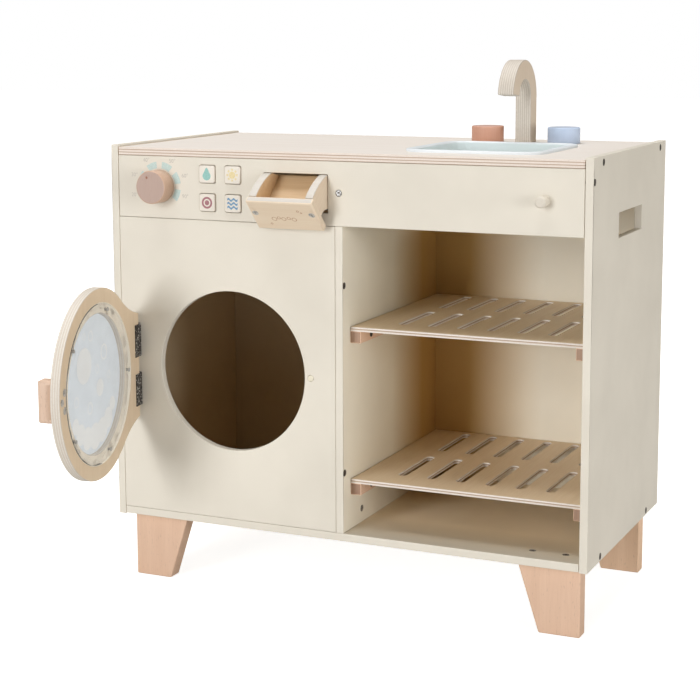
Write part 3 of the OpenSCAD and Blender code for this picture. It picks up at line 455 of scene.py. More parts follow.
# Every finish, by the name that pieces ask for
FINISHES = {
    "cream": paint_material("cream_paint", CREAM),
    "peg": paint_material("peg_paint", (214, 206, 192)),
    "cap": paint_material("cap_paint", (229, 221, 199)),
    # Inside paint: painted light, with painted warm shade in the bay's corner and the washer
    "inside": painted_light_inside_material("cream_inside", CREAM_INSIDE_PAINTED_LIGHT),
    # The bottom board's inside: painted light deep in, and a painted shade at its front
    "inside_floor": painted_light_inside_material("cream_floor_painted_light_and_shade", (253, 237, 207), (198, 190, 174)),
    "veneer": wood_material("worktop_veneer", VENEER, VENEER_DARK, axis=0, roughness=0.52,
                            strength=0.5, gloss=0.25),
    "worktop_edge": ply_edge_material("worktop_edge", 2, layer=1.55 * MM, thin=True,
                                      light=(236, 226, 216), dark=(226, 210, 196),
                                      glue=(184, 158, 138)),
    "beech_upright": wood_material("beech_upright", BEECH, BEECH_DARK, flecks=0.25),
    # The rear legs' beech is painted lighter than the front legs', as painted light on legs in shade
    "beech_rear_painted_light": wood_material("beech_rear_painted_light", (246, 209, 176), (230, 190, 154), flecks=0.25),
    "beech_deep": wood_material("beech_deep", BEECH, BEECH_DARK, axis=1, flecks=0.4),
    "beech_across": wood_material("beech_across", BEECH, BEECH_DARK, axis=0, flecks=0.4),
    "beech_end": wood_material("beech_end", (170, 138, 114), (140, 106, 86), strength=0.8),
    "dial_face": wood_material("dial_face", DIAL_FACE, (176, 147, 134), flecks=0.15, strength=0.4),
    "dial_side": wood_material("dial_side", (205, 173, 150), (186, 150, 126), flecks=0.2),
    "shelf_face": wood_material("shelf_face", (232, 210, 178), (214, 188, 152), axis=1,
                                roughness=0.45, strength=0.5),
    # The upper shelf's face is the shelf wood painted lighter, as painted light where less light reaches
    "upper_shelf_face": wood_material("upper_shelf_face", (243, 218, 182), (226, 197, 157),
                                      axis=1, roughness=0.45, strength=0.5),
    "upper_shelf_edge": shelf_edge_material("shelf_upper"),
    "lower_shelf_edge": shelf_edge_material("shelf_lower"),
    "tap_face": wood_material("tap_face", (220, 203, 183), (209, 188, 163), strength=0.5),
    "tap_edge": ply_edge_material("tap_edge", 0, layer=1.3 * MM, light=(214, 206, 194),
                                  dark=(193, 181, 167), contrast=0.85),
    "tray_wood": wood_material("tray_wood", (232, 214, 190), (222, 198, 169), axis=0,
                               turn=TRAY_GRAIN, strength=0.5),
    "tray_edge": wood_material("tray_edge", PALE_WOOD_EDGE, (198, 186, 172), axis=0,
                               turn=TRAY_GRAIN, strength=0.5),
    "tray_inside": wood_material("tray_inside", TRAY_INSIDE, (196, 158, 114), axis=0,
                                 turn=TRAY_GRAIN, strength=0.5),
    "tray_side": wood_material("tray_side", PALE_WOOD, PALE_WOOD_DARK, axis=1,
                               turn=TRAY_GRAIN, strength=0.5),
    "door_face": wood_material("door_face", (224, 202, 173), (208, 184, 152), turn=DOOR_GRAIN,
                               strength=0.45),
    "door_edge": ply_edge_material("door_edge", 1, layer=1.4 * MM, turn=DOOR_GRAIN,
                                   light=(222, 216, 205), dark=(208, 195, 180), contrast=0.8),
    "handle": wood_material("handle_wood", (224, 196, 174), (206, 172, 148), flecks=0.3),
    "button": wood_material("button_wood", BUTTON_FACE, (226, 212, 198), strength=0.4),
    "orange": wood_material("orange_knob", (205, 156, 133), (188, 130, 104), strength=0.4),
    "orange_top": wood_material("orange_top", (202, 168, 156), (190, 150, 136), axis=0,
                                strength=0.4),
    "blue": wood_material("blue_knob", BLUE, (174, 189, 214), strength=0.4),
    "blue_top": wood_material("blue_top", (190, 202, 220), (178, 190, 211), axis=0,
                              strength=0.4),
    "rim": plastic_material("sink_rim", SINK_RIM, 0.4),
    "bowl": plastic_material("sink_bowl", SINK_MINT, 0.6),
    "housing": plastic_material("housing_plastic", (226, 226, 220), 0.5),
    "window": window_material("window_acrylic", (226, 229, 230), 0.07),
    "film": window_material("window_film", (238, 247, 255), 0.96, 0.4),
    "dark_steel": metal_material("dark_steel", (96, 90, 84), 0.42),
    "worn_steel": worn_material("worn_steel", (40, 34, 32), (240, 236, 228)),
    "bright_steel": metal_material("bright_steel", (172, 172, 172), 0.3),
    "soft_steel": metal_material("soft_steel", (206, 202, 196), 0.55, metallic=0.35),
    # The window's seat: the door's wood painted paler, as painted light under the window's pane
    "rebate": wood_material("door_seat_painted_light", (248, 239, 222), (238, 224, 202), turn=DOOR_GRAIN,
                            strength=0.4),
    "window_rim_painted_shade": window_material("window_rim_painted_shade", (92, 88, 84), 0.75, 0.2),
    "bubble": print_material("bubble_print", (250, 254, 255), 0.4),
    "scale": print_material("scale_print", (184, 203, 198)),
    "marks": print_material("grey_print", MARK_GREY),
    "teal": print_material("teal_print", (138, 186, 178)),
    "yellow": print_material("yellow_print", (222, 204, 152)),
    "pink": print_material("pink_print", (160, 104, 110)),
    "ink_blue": print_material("blue_print", (104, 146, 178)),
    "burnt": print_material("burnt_mark", (146, 96, 76)),
    "engraved": print_material("engraved_mark", (176, 132, 96)),
}

# -------- shapes taken from the frame

ACROSS = Vector((1, 0, 0))
DEEP = Vector((0, 1, 0))
UP = Vector((0, 0, 1))
DOOR_TURN = Matrix.Rotation(-math.radians(DOOR_OPEN), 3, "Z")
DOOR_OUT = DOOR_TURN @ -DEEP
TRAY_TURN = Matrix.Rotation(math.radians(TRAY_OPEN), 3, "X")
TRAY_OUT = TRAY_TURN @ -DEEP

# In millimetres: points closer than this are one, and points this near a board's end belong to it
MERGE_DISTANCE = 0.002
END_REACH = 0.01
# In degrees: how nearly flat faces are that are joined, the least turn at an edge that is rounded,
# and the least turn that is shaded as sharp, on softened pieces and on the sink
JOIN_ANGLE = 0.5
EDGE_ANGLE = 35
SHARP_ANGLE = 50
SINK_SHARP_ANGLE = 40
# A side looks in a direction if the cosine of the angle between them is over this
FACING = 0.97


def link(name, data):
    """Adds an object to the scene."""
    made = bpy.data.objects.new(name, data)
    bpy.context.scene.collection.objects.link(made)
    return made


def mesh_from(work, name):
    """Ends the work on a mesh and keeps it under a name."""
    work.normal_update()
    mesh = bpy.data.meshes.new(name)
    work.to_mesh(mesh)
    work.free()
    return mesh


def add_object(name, mesh, body, slot, *materials, smooth=None):
    """Adds a mesh as a piece that rides on a body; slot is not used; smooth is its sharp angle."""
    made = link(name, mesh)
    for material in materials:
        mesh.materials.append(FINISHES[material])
    if smooth is not None:
        for polygon in mesh.polygons:
            polygon.use_smooth = True
        mesh.set_sharp_from_angle(angle=math.radians(smooth))
    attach(made, body)
    return made


def trim_ends(work, node, trim):
    """Moves the outermost flat ends of a board inward, so that its joints show as dark gaps."""
    low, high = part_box(node)
    for axis, amount in trim:
        for vertex in work.verts:
            if vertex.co[axis] - low[axis] < END_REACH * MM:
                vertex.co[axis] += amount * MM
            elif high[axis] - vertex.co[axis] < END_REACH * MM:
                vertex.co[axis] -= amount * MM


def soften(node, slot, width, finish, faces=(), segments=2, trim=(), join=False, one_way=()):
    """Stands in for a CAD node: the same shape with rounded edges and a finish for each side.

    width is the rounding in millimetres. faces lists (direction, finish) for the flat sides that
    look one way or the other way, one_way lists the same for sides that look just that way, and
    trim lists (axis, millimetres) for ends that are drawn in. join merges flat faces before the
    edges are rounded."""
    work = bmesh.new()
    work.from_mesh(frame["nodes"][node].data)
    bmesh.ops.remove_doubles(work, verts=work.verts, dist=MERGE_DISTANCE * MM)
    trim_ends(work, node, trim)
    if join:
        bmesh.ops.dissolve_limit(work, angle_limit=math.radians(JOIN_ANGLE), verts=work.verts,
                                 edges=work.edges, delimit=set())
    if width:
        sharp = math.radians(EDGE_ANGLE)
        edges = [edge for edge in work.edges
                 if len(edge.link_faces) == 2 and edge.calc_face_angle_signed() > sharp]
        bmesh.ops.bevel(work, geom=edges, offset=width * MM, offset_type="OFFSET",
                        segments=segments, profile=0.5, affect="EDGES", clamp_overlap=False)
    work.normal_update()
    for face in work.faces:
        face.material_index = 0
        for index, (direction, _) in enumerate(faces, 1):
            if abs(face.normal.dot(direction)) > FACING:
                face.material_index = index
        for index, (direction, _) in enumerate(one_way, len(faces) + 1):
            if face.normal.dot(direction) > FACING:
                face.material_index = index
    name = node + "_finished"
    made = add_object(name, mesh_from(work, name), frame["nodes"][node]["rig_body"], slot, finish,
                      *[material for _, material in (*faces, *one_way)], smooth=SHARP_ANGLE)
    normals = made.modifiers.new("Even normals", "WEIGHTED_NORMAL")
    normals.keep_sharp = True
    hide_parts(node)
    return made


def repaint(node, finish):
    """Gives a CAD node that is shown as it is its finish."""
    mesh = frame["nodes"][node].data
    mesh.materials.clear()
    mesh.materials.append(FINISHES[finish])


# The door, in millimetres: where its hinge axis stands, how far along the door its middle lies,
# and how far out of that axis lie its back, the seat of its window and the film in its hole
HINGE = middle("hinge_pins")
DOOR_CENTRE = (DOOR_TURN.inverted() @ (middle("door_window") - HINGE)).x
BACK_OUT = -1
SEAT_OUT = 2
FILM_OUT = 8
# A point this near a surface counts as on it, and the seat's radius with 0.5 to spare
NEAR = 0.1
SEAT_RADIUS = 90.5
# How far the window stands out of the door's back
WINDOW_RISE = 0.7


def in_door(point):
    """Where a point lies, in millimetres from the hinge axis: along the door, up, and out."""
    local = DOOR_TURN.inverted() @ (point - place(*HINGE)) / MM
    return local.x, local.z, -local.y


def on_door(along_door, up, out):
    """The point that lies so far along the door, up, and out of its front, from the hinge axis."""
    return place(*(HINGE + DOOR_TURN @ Vector((along_door, -out, up))))


def finish_rebate():
    """Gives the seat of the window a paler copy of the door's wood: painted light under the window's
    pane.
    """
    made = bpy.data.objects["door_frame_finished"]
    made.data.materials.append(FINISHES["rebate"])
    for polygon in made.data.polygons:
        along_door, up, out = in_door(polygon.center)
        in_seat = math.hypot(along_door - DOOR_CENTRE, up) < SEAT_RADIUS
        if in_seat and BACK_OUT + NEAR < out < SEAT_OUT + NEAR:
            polygon.material_index = len(made.data.materials) - 1


def finish_window():
    """Lets the window stand slightly proud of the door's back, and gives the half of its rim that
    looks away from the hinges a painted shade, the dark line of the groove round it in shadow."""
    made = soften("door_window", "clear_window", 0, "window", [(DOOR_OUT, "window")])
    made.data.materials.append(FINISHES["window_rim_painted_shade"])
    for vertex in made.data.vertices:
        if in_door(vertex.co)[2] < BACK_OUT + NEAR:
            vertex.co -= DOOR_OUT * WINDOW_RISE * MM
    # Painted shade on the half of the rim that looks away from the hinges
    for polygon in made.data.polygons:
        if polygon.material_index == 0 and polygon.normal.dot(DOOR_TURN @ ACROSS) > 0:
            polygon.material_index = 2


# Rounding of edges, and how far the worktop's ends are drawn in, in millimetres
LEG_ROUND = 1.6
BEECH_ROUND = 0.8
DOOR_ROUND = 0.8
SPOUT_ROUND = 0.9
BUTTON_ROUND = 0.9
TRAY_ROUND = 0.7
DOWEL_ROUND = 0.4
SHEET_ROUND = 0.5
HINGE_ROUND = 0.25
WORKTOP_GAP = 0.9

# Painted boards: edge rounding, ends drawn in, and the sides that look into the cabinet
PAINTED = {
    "side_panel_left": (0.7, (), ((ACROSS, "inside"),)),
    "side_panel_right": (0.7, (), ((-ACROSS, "inside"),)),
    "bottom_board": (0.6, ((0, 0.5),), ((UP, "inside_floor"),)),
    "back_panel": (0.3, (), ((-DEEP, "inside"),)),
    "divider_panel": (0.6, (), ((ACROSS, "inside"), (-ACROSS, "inside"))),
    "control_panel": (0.7, ((0, 0.5), (2, 0.2)), ((DEEP, "inside"),)),
    "washer_front_panel": (0.7, ((0, 0.3), (2, 0.2)), ((DEEP, "inside"),)),
}
for name, (width, trim, inward) in PAINTED.items():
    soften(name, "cream_paint", width, "cream", trim=trim, one_way=inward)
soften("towel_peg", "cream_paint", 0, "peg")

soften("worktop", "worktop_wood", SHEET_ROUND, "worktop_edge", [(UP, "veneer")],
       trim=((0, WORKTOP_GAP),))
for name in ("leg_front_left", "leg_front_right"):
    soften(name, "beech", LEG_ROUND, "beech_upright", segments=3)
for name in ("leg_rear_left", "leg_rear_right"):
    soften(name, "beech", LEG_ROUND, "beech_rear_painted_light", segments=3)
for name in ("upper_batten_left", "upper_batten_right", "lower_batten_left",
             "lower_batten_right"):
    soften(name, "beech", BEECH_ROUND, "beech_deep", [(DEEP, "beech_end")])
soften("divider_block", "beech", BEECH_ROUND, "beech_upright")
soften("tap_spout", "pale_wood", SPOUT_ROUND, "tap_edge", [(ACROSS, "tap_face")], join=True)
soften("hot_tap_knob", "orange_paint", 0, "orange", [(UP, "orange_top")])
soften("cold_tap_knob", "blue_paint", 0, "blue", [(UP, "blue_top")])
soften("dial_knob", "dial_wood", 0, "dial_side", [(DEEP, "dial_face")])
for name in ("button_top_left", "button_top_right", "button_bottom_left",
             "button_bottom_right"):
    soften(name, "button_wood", BUTTON_ROUND, "button", segments=3)
soften("door_frame", "plywood", DOOR_ROUND, "door_edge", [(DOOR_OUT, "door_face")])
finish_rebate()
soften("door_handle", "beech", 0, "handle")
soften("tray_front", "pale_wood", 0, "tray_wood",
       one_way=((TRAY_TURN @ UP, "tray_edge"), (-TRAY_OUT, "tray_inside"),
                (ACROSS, "tray_side"), (-ACROSS, "tray_side")))
soften("tray_cheek_left", "pale_wood", TRAY_ROUND, "tray_edge",
       one_way=((ACROSS, "tray_inside"), (-ACROSS, "tray_side")))
soften("tray_cheek_right", "pale_wood", TRAY_ROUND, "tray_edge",
       one_way=((ACROSS, "tray_side"), (-ACROSS, "tray_inside")))
soften("tray_floor", "pale_wood", TRAY_ROUND, "tray_inside")
soften("tray_stops", "beech", DOWEL_ROUND, "beech_across")
soften("shelf_upper", "plywood", SHEET_ROUND, "upper_shelf_edge", [(UP, "upper_shelf_face")])
soften("shelf_lower", "plywood", SHEET_ROUND, "lower_shelf_edge", [(UP, "shelf_face")])
for name in ("hinge_frame_leaves", "hinge_door_leaves"):
    soften(name, "dark_steel", HINGE_ROUND, "worn_steel")

for name in ("hinge_pins", "hinge_frame_screws", "hinge_door_screws"):
    repaint(name, "worn_steel")
repaint("batten_screws", "dark_steel")


def finish_panel_screws():
    """The panel screws are dark, but those near BRIGHT_SCREWS are plated."""
    made = soften("panel_screws", "dark_steel", 0, "dark_steel")
    made.data.materials.append(FINISHES["bright_steel"])
    for spot in BRIGHT_SCREWS:
        for polygon in made.data.polygons:
            if (polygon.center - place(*spot)).length < SCREW_REACH * MM:
                polygon.material_index = 1


finish_panel_screws()
soften("front_panel_magnet", "bright_steel", 0, "cap")
for name in ("leg_screws", "button_housing_screws", "button_springs",
             "tray_hinge_rail_leaves", "tray_hinge_pins", "dial_retainer", "hot_tap_retainer",
             "cold_tap_retainer", "tray_hinge_leaves"):
    repaint(name, "bright_steel")
for name in ("window_screws", "handle_screws", "door_strike", "tray_screws"):
    repaint(name, "soft_steel")
repaint("button_housing", "housing")
finish_window()

# -------- sink

SINK_LOW, SINK_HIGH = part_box("sink_basin")
SINK_CENTRE = (Vector(SINK_LOW) + Vector(SINK_HIGH)) / 2
SINK_SIDE = (SINK_HIGH[0] - SINK_LOW[0]) / MM
RIM_TOP = SINK_HIGH[2]

# Rim, in millimetres: its height and width, its corner, the roll of its outer edge, and the roll
# and the corner of the mouth inside it
RIM_HEIGHT = 3
RIM_WIDTH = 10
RIM_CORNER = 27
RIM_ROLL = 1.6
MOUTH_ROLL = 2.4
MOUTH_CORNER = 17
# Where rim and bowl meet: how much wider than the mouth, and the corners inside and outside
NECK = 3.6
NECK_CORNER = 18
NECK_CORNER_OUTSIDE = 18.5
# Bowl: its depth and wall, how much narrower than the mouth its foot is, the foot's corner and
# rounding, how far in degrees that rounding turns, and how fast the corner shrinks along it
BOWL_DEPTH = 38.9
BOWL_WALL = 1.7
FOOT_TAPER = 6
FOOT_CORNER = 15.5
FOOT_ROUND = 9
FOOT_TURN = 84
FOOT_SHRINK = 0.3
# The flat middle of the bowl's floor: how much narrower than the mouth, and its corner
FLAT_INSET = 60
FLAT_CORNER = 8
# The bowl's outside: how high it turns in, and its side and corner below that
TURN_HEIGHT = 4
OUTSIDE_INSET = 8.6
OUTSIDE_CORNER = 15
# Steps in a corner, in the rolls of rim and mouth, and in the foot's rounding
CORNER_STEPS = 9
RIM_STEPS = 4
MOUTH_STEPS = 5
FOOT_STEPS = 7


def squircle(side, corner, z):
    """The points of a rounded square, counter-clockwise, side and corner in millimetres."""
    points = []
    reach = side / 2 - corner
    for quarter, (sx, sy) in enumerate(((1, 1), (-1, 1), (-1, -1), (1, -1))):
        for i in range(CORNER_STEPS + 1):
            angle = math.radians(90 * quarter + 90 * i / CORNER_STEPS)
            x = SINK_CENTRE.x + (sx * reach + corner * math.cos(angle)) * MM
            y = SINK_CENTRE.y + (sy * reach + corner * math.sin(angle)) * MM
            points.append(Vector((x, y, z)))
    return points


def loft(name, rings, body, finishes, slot):
    """Joins rings into a skin that is closed at the last one.

    Each ring is its points and the number of the finish for the band that follows it."""
    work = bmesh.new()
    rows = [[work.verts.new(point) for point in points] for points, _ in rings]
    for row, (first, second) in enumerate(zip(rows, rows[1:])):
        for i in range(len(first)):
            j = (i + 1) % len(first)
            face = work.faces.new((first[i], first[j], second[j], second[i]))
            face.material_index = rings[row][1]
    end = work.faces.new(rows[-1])
    end.material_index = rings[-1][1]
    return add_object(name, mesh_from(work, name), body, slot, *finishes,
                      smooth=SINK_SHARP_ANGLE)


def build_sink():
    """A rim with a rolled edge, and a bowl with rounded corners and a soft foot, inside and out."""
    mouth = SINK_SIDE - 2 * RIM_WIDTH
    rim_low = RIM_TOP - RIM_HEIGHT * MM
    bowl_low = RIM_TOP - BOWL_DEPTH * MM
    under = bowl_low - BOWL_WALL * MM
    rings = []

    def ring(side, corner, z, finish=0):
        rings.append((squircle(side, corner, z), finish))

    ring(mouth + NECK, NECK_CORNER, rim_low)
    ring(SINK_SIDE, RIM_CORNER, rim_low)
    for i in range(RIM_STEPS + 1):
        angle = math.radians(90 * i / RIM_STEPS)
        inset = RIM_ROLL * (1 - math.cos(angle))
        ring(SINK_SIDE - 2 * inset, RIM_CORNER - inset,
             RIM_TOP - RIM_ROLL * (1 - math.sin(angle)) * MM)
    for i in range(MOUTH_STEPS + 1):
        angle = math.radians(90 * i / MOUTH_STEPS)
        inset = MOUTH_ROLL * (1 - math.sin(angle))
        ring(mouth + 2 * inset, MOUTH_CORNER + inset,
             RIM_TOP - MOUTH_ROLL * (1 - math.cos(angle)) * MM, 1 if i >= MOUTH_STEPS - 1 else 0)
    for i in range(FOOT_STEPS + 1):
        angle = math.radians(FOOT_TURN * i / FOOT_STEPS)
        inset = FOOT_ROUND * (1 - math.cos(angle))
        ring(mouth - FOOT_TAPER - 2 * inset, FOOT_CORNER - FOOT_SHRINK * inset,
             bowl_low + FOOT_ROUND * (1 - math.sin(angle)) * MM, 1)
    ring(mouth - FLAT_INSET, FLAT_CORNER, bowl_low, 1)
    inside = loft("sink_inside", rings, "cabinet", ("rim", "bowl"), "sink_mint")

    outer = ((mouth + NECK, NECK_CORNER_OUTSIDE, rim_low),
             (mouth - NECK, MOUTH_CORNER, bowl_low + TURN_HEIGHT * MM),
             (mouth - OUTSIDE_INSET, OUTSIDE_CORNER, under),
             (mouth - FLAT_INSET, FLAT_CORNER, under))
    outside = loft("sink_outside", [(squircle(*size)[::-1], 0) for size in outer], "cabinet",
                   ("bowl",), "sink_mint")
    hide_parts("sink_basin")
    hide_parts("sink_basin")


build_sink()

# -------- printed and burnt marks

# In millimetres: how far a mark lies off its surface, and how far apart the patches of foam lie
INK = 0.06
FOAM_STEP = 0.03

# Dial scale: its inner and outer radius in millimetres, its number of segments, and in degrees
# their spacing and half of their width
SCALE_RADII = (20.5, 28)
SEGMENT_COUNT = 6
SEGMENT_SPACING = 45
SEGMENT_HALF = 14.5

# Each number with its place from the dial's centre, and their size, in millimetres
NUMBERS = {"90": (33.6, -11), "60": (33.4, 12.6), "50": (17.2, 29), "40": (-17.2, 29.3),
           "30": (-33.2, 12), "20": (-33.4, -11.2)}
NUMBER_SIZE = 6.2

# The burnt dot in the dial's dimple: its angle in degrees, its distance from the centre, its
# radius and how far it lies behind the dial's face. The dimple's radius is 1.6, so that the rest
# of the dot lies inside the wood and does not show.
DOT_ANGLE = 114
DOT_REACH = 12
DOT_RADIUS = 2.1
DOT_BEHIND = 0.9

# Drop: its radius, how much it narrows upward, how far its tip is drawn out, and how low it sits
DROP_RADIUS = 5.2
DROP_NARROWS = 0.16
DROP_TIP = 4.0
DROP_LOWER = 1.7
DROP_STEPS = 36
# Sun: its radius, its rays' inner and outer radius, their number, and half their width in degrees
SUN_RADIUS = 4.1
RAY_RADII = (5.0, 7.2)
RAY_COUNT = 8
RAY_HALF = 11
# Ring: its inner and outer radius, and the dot's radius
RING_RADII = (4.4, 6.7)
RING_DOT = 2.9
# Waves: their levels, half their length, their height, radians to a millimetre, half their line
WAVE_LEVELS = (-4.4, 0, 4.4)
WAVE_HALF = 6.6
WAVE_HEIGHT = 1.1
WAVE_RATE = 0.95
WAVE_LINE = 1.2
WAVE_STEPS = 20

# Door window, from its middle: the film's radius, then foam and bubbles as right, up, radius
FILM_RADIUS = 78.25
FOAM = ((-42, -47, 12), (-24, -57, 14), (-4, -60, 15), (17, -58, 13), (35, -50, 12),
        (48, -38, 9), (-54, -33, 8), (22, 24, 20), (-20, -8, 10))
BUBBLES = ((8, -26, 7), (-34, 30, 9), (2, 54, 6), (44, -12, 6), (-14, 14, 5), (-46, 2, 4.5),
           (20, 56, 4))
# A bubble's line and its glint, as shares of its radius, and where in degrees the glint lies
BUBBLE_LINE = (0.8, 1)
GLINT_LINE = (0.5, 0.65)
GLINT_ANGLES = (110, 165)

# Soap tray: its hinge axis, the middle of its front plate when closed, that plate's thickness,
# the rings burnt into it as right, up, radius from its middle, and the width of their line
TRAY_PIVOT = middle("tray_hinge_pins")
TRAY_MIDDLE = TRAY_PIVOT + TRAY_TURN.inverted() @ (middle("tray_front") - TRAY_PIVOT)
TRAY_PLATE = 8.5
TRAY_RINGS = ((-14, -4.5, 3.2), (-8, -2.6, 2.2), (-2.4, -4.2, 2.9), (4, -2.8, 2.4),
              (10.2, -4.4, 3.1), (19, 10, 1.6), (22.6, 7.4, 1.2), (-20, -13, 1.5))
TRAY_LINE = 0.7


def flat_piece(name, outlines, finish, body, to_world, slot):
    """Flat outlines in millimetres, as one thin mark: to_world makes a point of each pair."""
    work = bmesh.new()
    for outline in outlines:
        corners = [work.verts.new(to_world(*point)) for point in outline]
        work.faces.new(corners)
    bmesh.ops.triangulate(work, faces=work.faces)
    add_object(name, mesh_from(work, name), body, slot, finish)


def around(a, b, radius, degrees):
    """The point at a radius and an angle from (a, b)."""
    turn = math.radians(degrees)
    return a + radius * math.cos(turn), b + radius * math.sin(turn)


def disc(a, b, radius, steps=28):
    """The outline of a disc."""
    return [around(a, b, radius, 360 * i / steps) for i in range(steps)]


def ring_band(a, b, inner, outer, start=0.0, end=360.0, steps=32):
    """A ring, or a part of one between two angles, as four-cornered outlines."""
    bands = []
    for i in range(steps):
        first, last = (start + (end - start) * k / steps for k in (i, i + 1))
        bands.append([around(a, b, radius, turn) for radius, turn in
                      ((inner, first), (outer, first), (outer, last), (inner, last))])
    return bands


def on_front(depth):
    """Marks on a plane that faces forward at a depth in millimetres from the cabinet's front."""
    return lambda a, b: place(a, depth - INK, b)


def on_tray(x, y, z):
    """A point of the closed soap tray, in millimetres, tipped open about its hinge axis."""
    turned = TRAY_TURN @ Vector((0, y - TRAY_PIVOT.y, z - TRAY_PIVOT.z))
    return place(x, TRAY_PIVOT.y + turned.y, TRAY_PIVOT.z + turned.z)


def numeral(name, text, a, b):
    """A plain number on the control panel, centred on (a, b)."""
    curve = bpy.data.curves.new(name, "FONT")
    curve.body = text
    curve.size = NUMBER_SIZE
    curve.align_x = "CENTER"
    curve.align_y = "CENTER"
    source = link(name + "_source", curve)
    bpy.context.view_layer.update()
    mesh = bpy.data.meshes.new_from_object(source.evaluated_get(
        bpy.context.evaluated_depsgraph_get()))
    bpy.data.objects.remove(source)
    for vertex in mesh.vertices:
        vertex.co = place(a + vertex.co.x, -INK, b + vertex.co.y)
    mesh.materials.clear()
    mesh.name = name
    add_object(name, mesh, "cabinet", "cream_paint", "marks")


def dial_marks():
    """The scale and the numbers on the panel round the dial, and the dot on the dial."""
    a, b = middle("dial_knob").xz
    segments = []
    for i in range(SEGMENT_COUNT):
        turn = SEGMENT_SPACING * (i - 0.5)
        segments += ring_band(a, b, *SCALE_RADII, turn - SEGMENT_HALF, turn + SEGMENT_HALF, 10)
    flat_piece("dial_scale", segments, "scale", "cabinet", on_front(0), "cream_paint")
    for text, (right, above) in NUMBERS.items():
        numeral(f"number_{text}", text + "\u00b0", a + right, b + above)
    dot = disc(*around(a, b, DOT_REACH, DOT_ANGLE), DOT_RADIUS)
    flat_piece("dial_dot", [dot], "burnt", "dial", on_front(front("dial_knob") + DOT_BEHIND),
               "dial_wood")


def button_motifs():
    """A drop, a sun, a ring with a dot, and three waves: one plain motif for each button."""
    face = on_front(front("button_top_left"))

    a, b = middle("button_top_left").xz
    drop = []
    for i in range(DROP_STEPS):
        turn = 2 * math.pi * i / DROP_STEPS
        upward = max(0.0, math.sin(turn))
        drop.append((a + DROP_RADIUS * math.cos(turn) * (1 - DROP_NARROWS * upward),
                     b - DROP_LOWER + DROP_RADIUS * math.sin(turn) + DROP_TIP * upward ** 6))
    flat_piece("motif_drop", [drop], "teal", "top_left_button", face, "button_wood")

    a, b = middle("button_top_right").xz
    rays = [disc(a, b, SUN_RADIUS)]
    for i in range(RAY_COUNT):
        turn = 360 / RAY_COUNT * i
        rays += ring_band(a, b, *RAY_RADII, turn - RAY_HALF, turn + RAY_HALF, steps=1)
    flat_piece("motif_sun", rays, "yellow", "top_right_button", face, "button_wood")

    a, b = middle("button_bottom_left").xz
    flat_piece("motif_ring", ring_band(a, b, *RING_RADII) + [disc(a, b, RING_DOT)], "pink",
               "bottom_left_button", face, "button_wood")

    a, b = middle("button_bottom_right").xz
    waves = []
    for level in WAVE_LEVELS:
        for i in range(WAVE_STEPS):
            x0, x1 = (WAVE_HALF * (2 * k / WAVE_STEPS - 1) for k in (i, i + 1))
            y0, y1 = (level + WAVE_HEIGHT * math.sin(x * WAVE_RATE) for x in (x0, x1))
            waves.append([(a + x0, b + y0 - WAVE_LINE), (a + x1, b + y1 - WAVE_LINE),
                          (a + x1, b + y1 + WAVE_LINE), (a + x0, b + y0 + WAVE_LINE)])
    flat_piece("motif_waves", waves, "ink_blue", "bottom_right_button", face, "button_wood")


def window_bubbles():
    """A tinted film near the front of the door's hole, with foam along its foot and bubbles."""
    flat_piece("window_film", [disc(DOOR_CENTRE, 0, FILM_RADIUS, 96)], "film", "door",
               lambda a, b: on_door(a, b, FILM_OUT), "clear_window")

    def face(a, b, layer=0):
        return on_door(DOOR_CENTRE + a, b, FILM_OUT - INK - FOAM_STEP * layer)

    outlines = []
    for layer, (a, b, radius) in enumerate(FOAM):
        outlines.append([(*point, layer) for point in disc(a, b, radius, 40)])
    for a, b, radius in BUBBLES:
        outlines += ring_band(a, b, *[radius * share for share in BUBBLE_LINE])
        outlines += ring_band(a, b, *[radius * share for share in GLINT_LINE], *GLINT_ANGLES, 8)
    flat_piece("window_bubbles", outlines, "bubble", "door", face, "clear_window")


def tray_rings():
    """Plain rings burnt into the tray's front."""
    def face(a, b):
        return on_tray(TRAY_MIDDLE.x + a, TRAY_MIDDLE.y - TRAY_PLATE / 2 - INK,
                       TRAY_MIDDLE.z + b)

    outlines = []
    for a, b, radius in TRAY_RINGS:
        outlines += ring_band(a, b, radius - TRAY_LINE, radius, steps=24)
    flat_piece("tray_rings", outlines, "engraved", "soap_tray", face, "pale_wood")


dial_marks()
button_motifs()
window_bubbles()
tray_rings()

# -------- camera, light and floor

# Each lamp: where it stands and what it points at, how wide and how tall it is, all in metres,
# and its watts
LAMPS = {
    "key": ((-1.15, -4.1, 1.1), (0, 0, 0.35), (1.15, 2.1), 96),
    "side": ((4.1, -2.1, 0.9), (0, 0, 0.3), (1.4, 1.7), 42),
    "rear_side": ((4.5, -0.6, 0.5), (0, 0, 0.2), (1.8, 0.9), 50),
    "top": ((-0.4, 0.1, 4.0), (0, 0, 0.3), (3.0, 3.0), 128),
}
LAMP_COLOUR = (0.98, 1.0, 1.03)
# Light from all round: colour and strength
AROUND_COLOUR = (1, 0.88, 0.7, 1)
AROUND_STRENGTH = 0.2
WHITE = (1, 1, 1, 1)
# Floor: half its side in metres, its colour, and how its glow rises with distance from the middle
FLOOR_HALF = 14
FLOOR_COLOUR = (204, 202, 199)
GLOW_FROM_TO = (0.7, 1.8)
GLOW_STRENGTH = (0.84, 1.0)


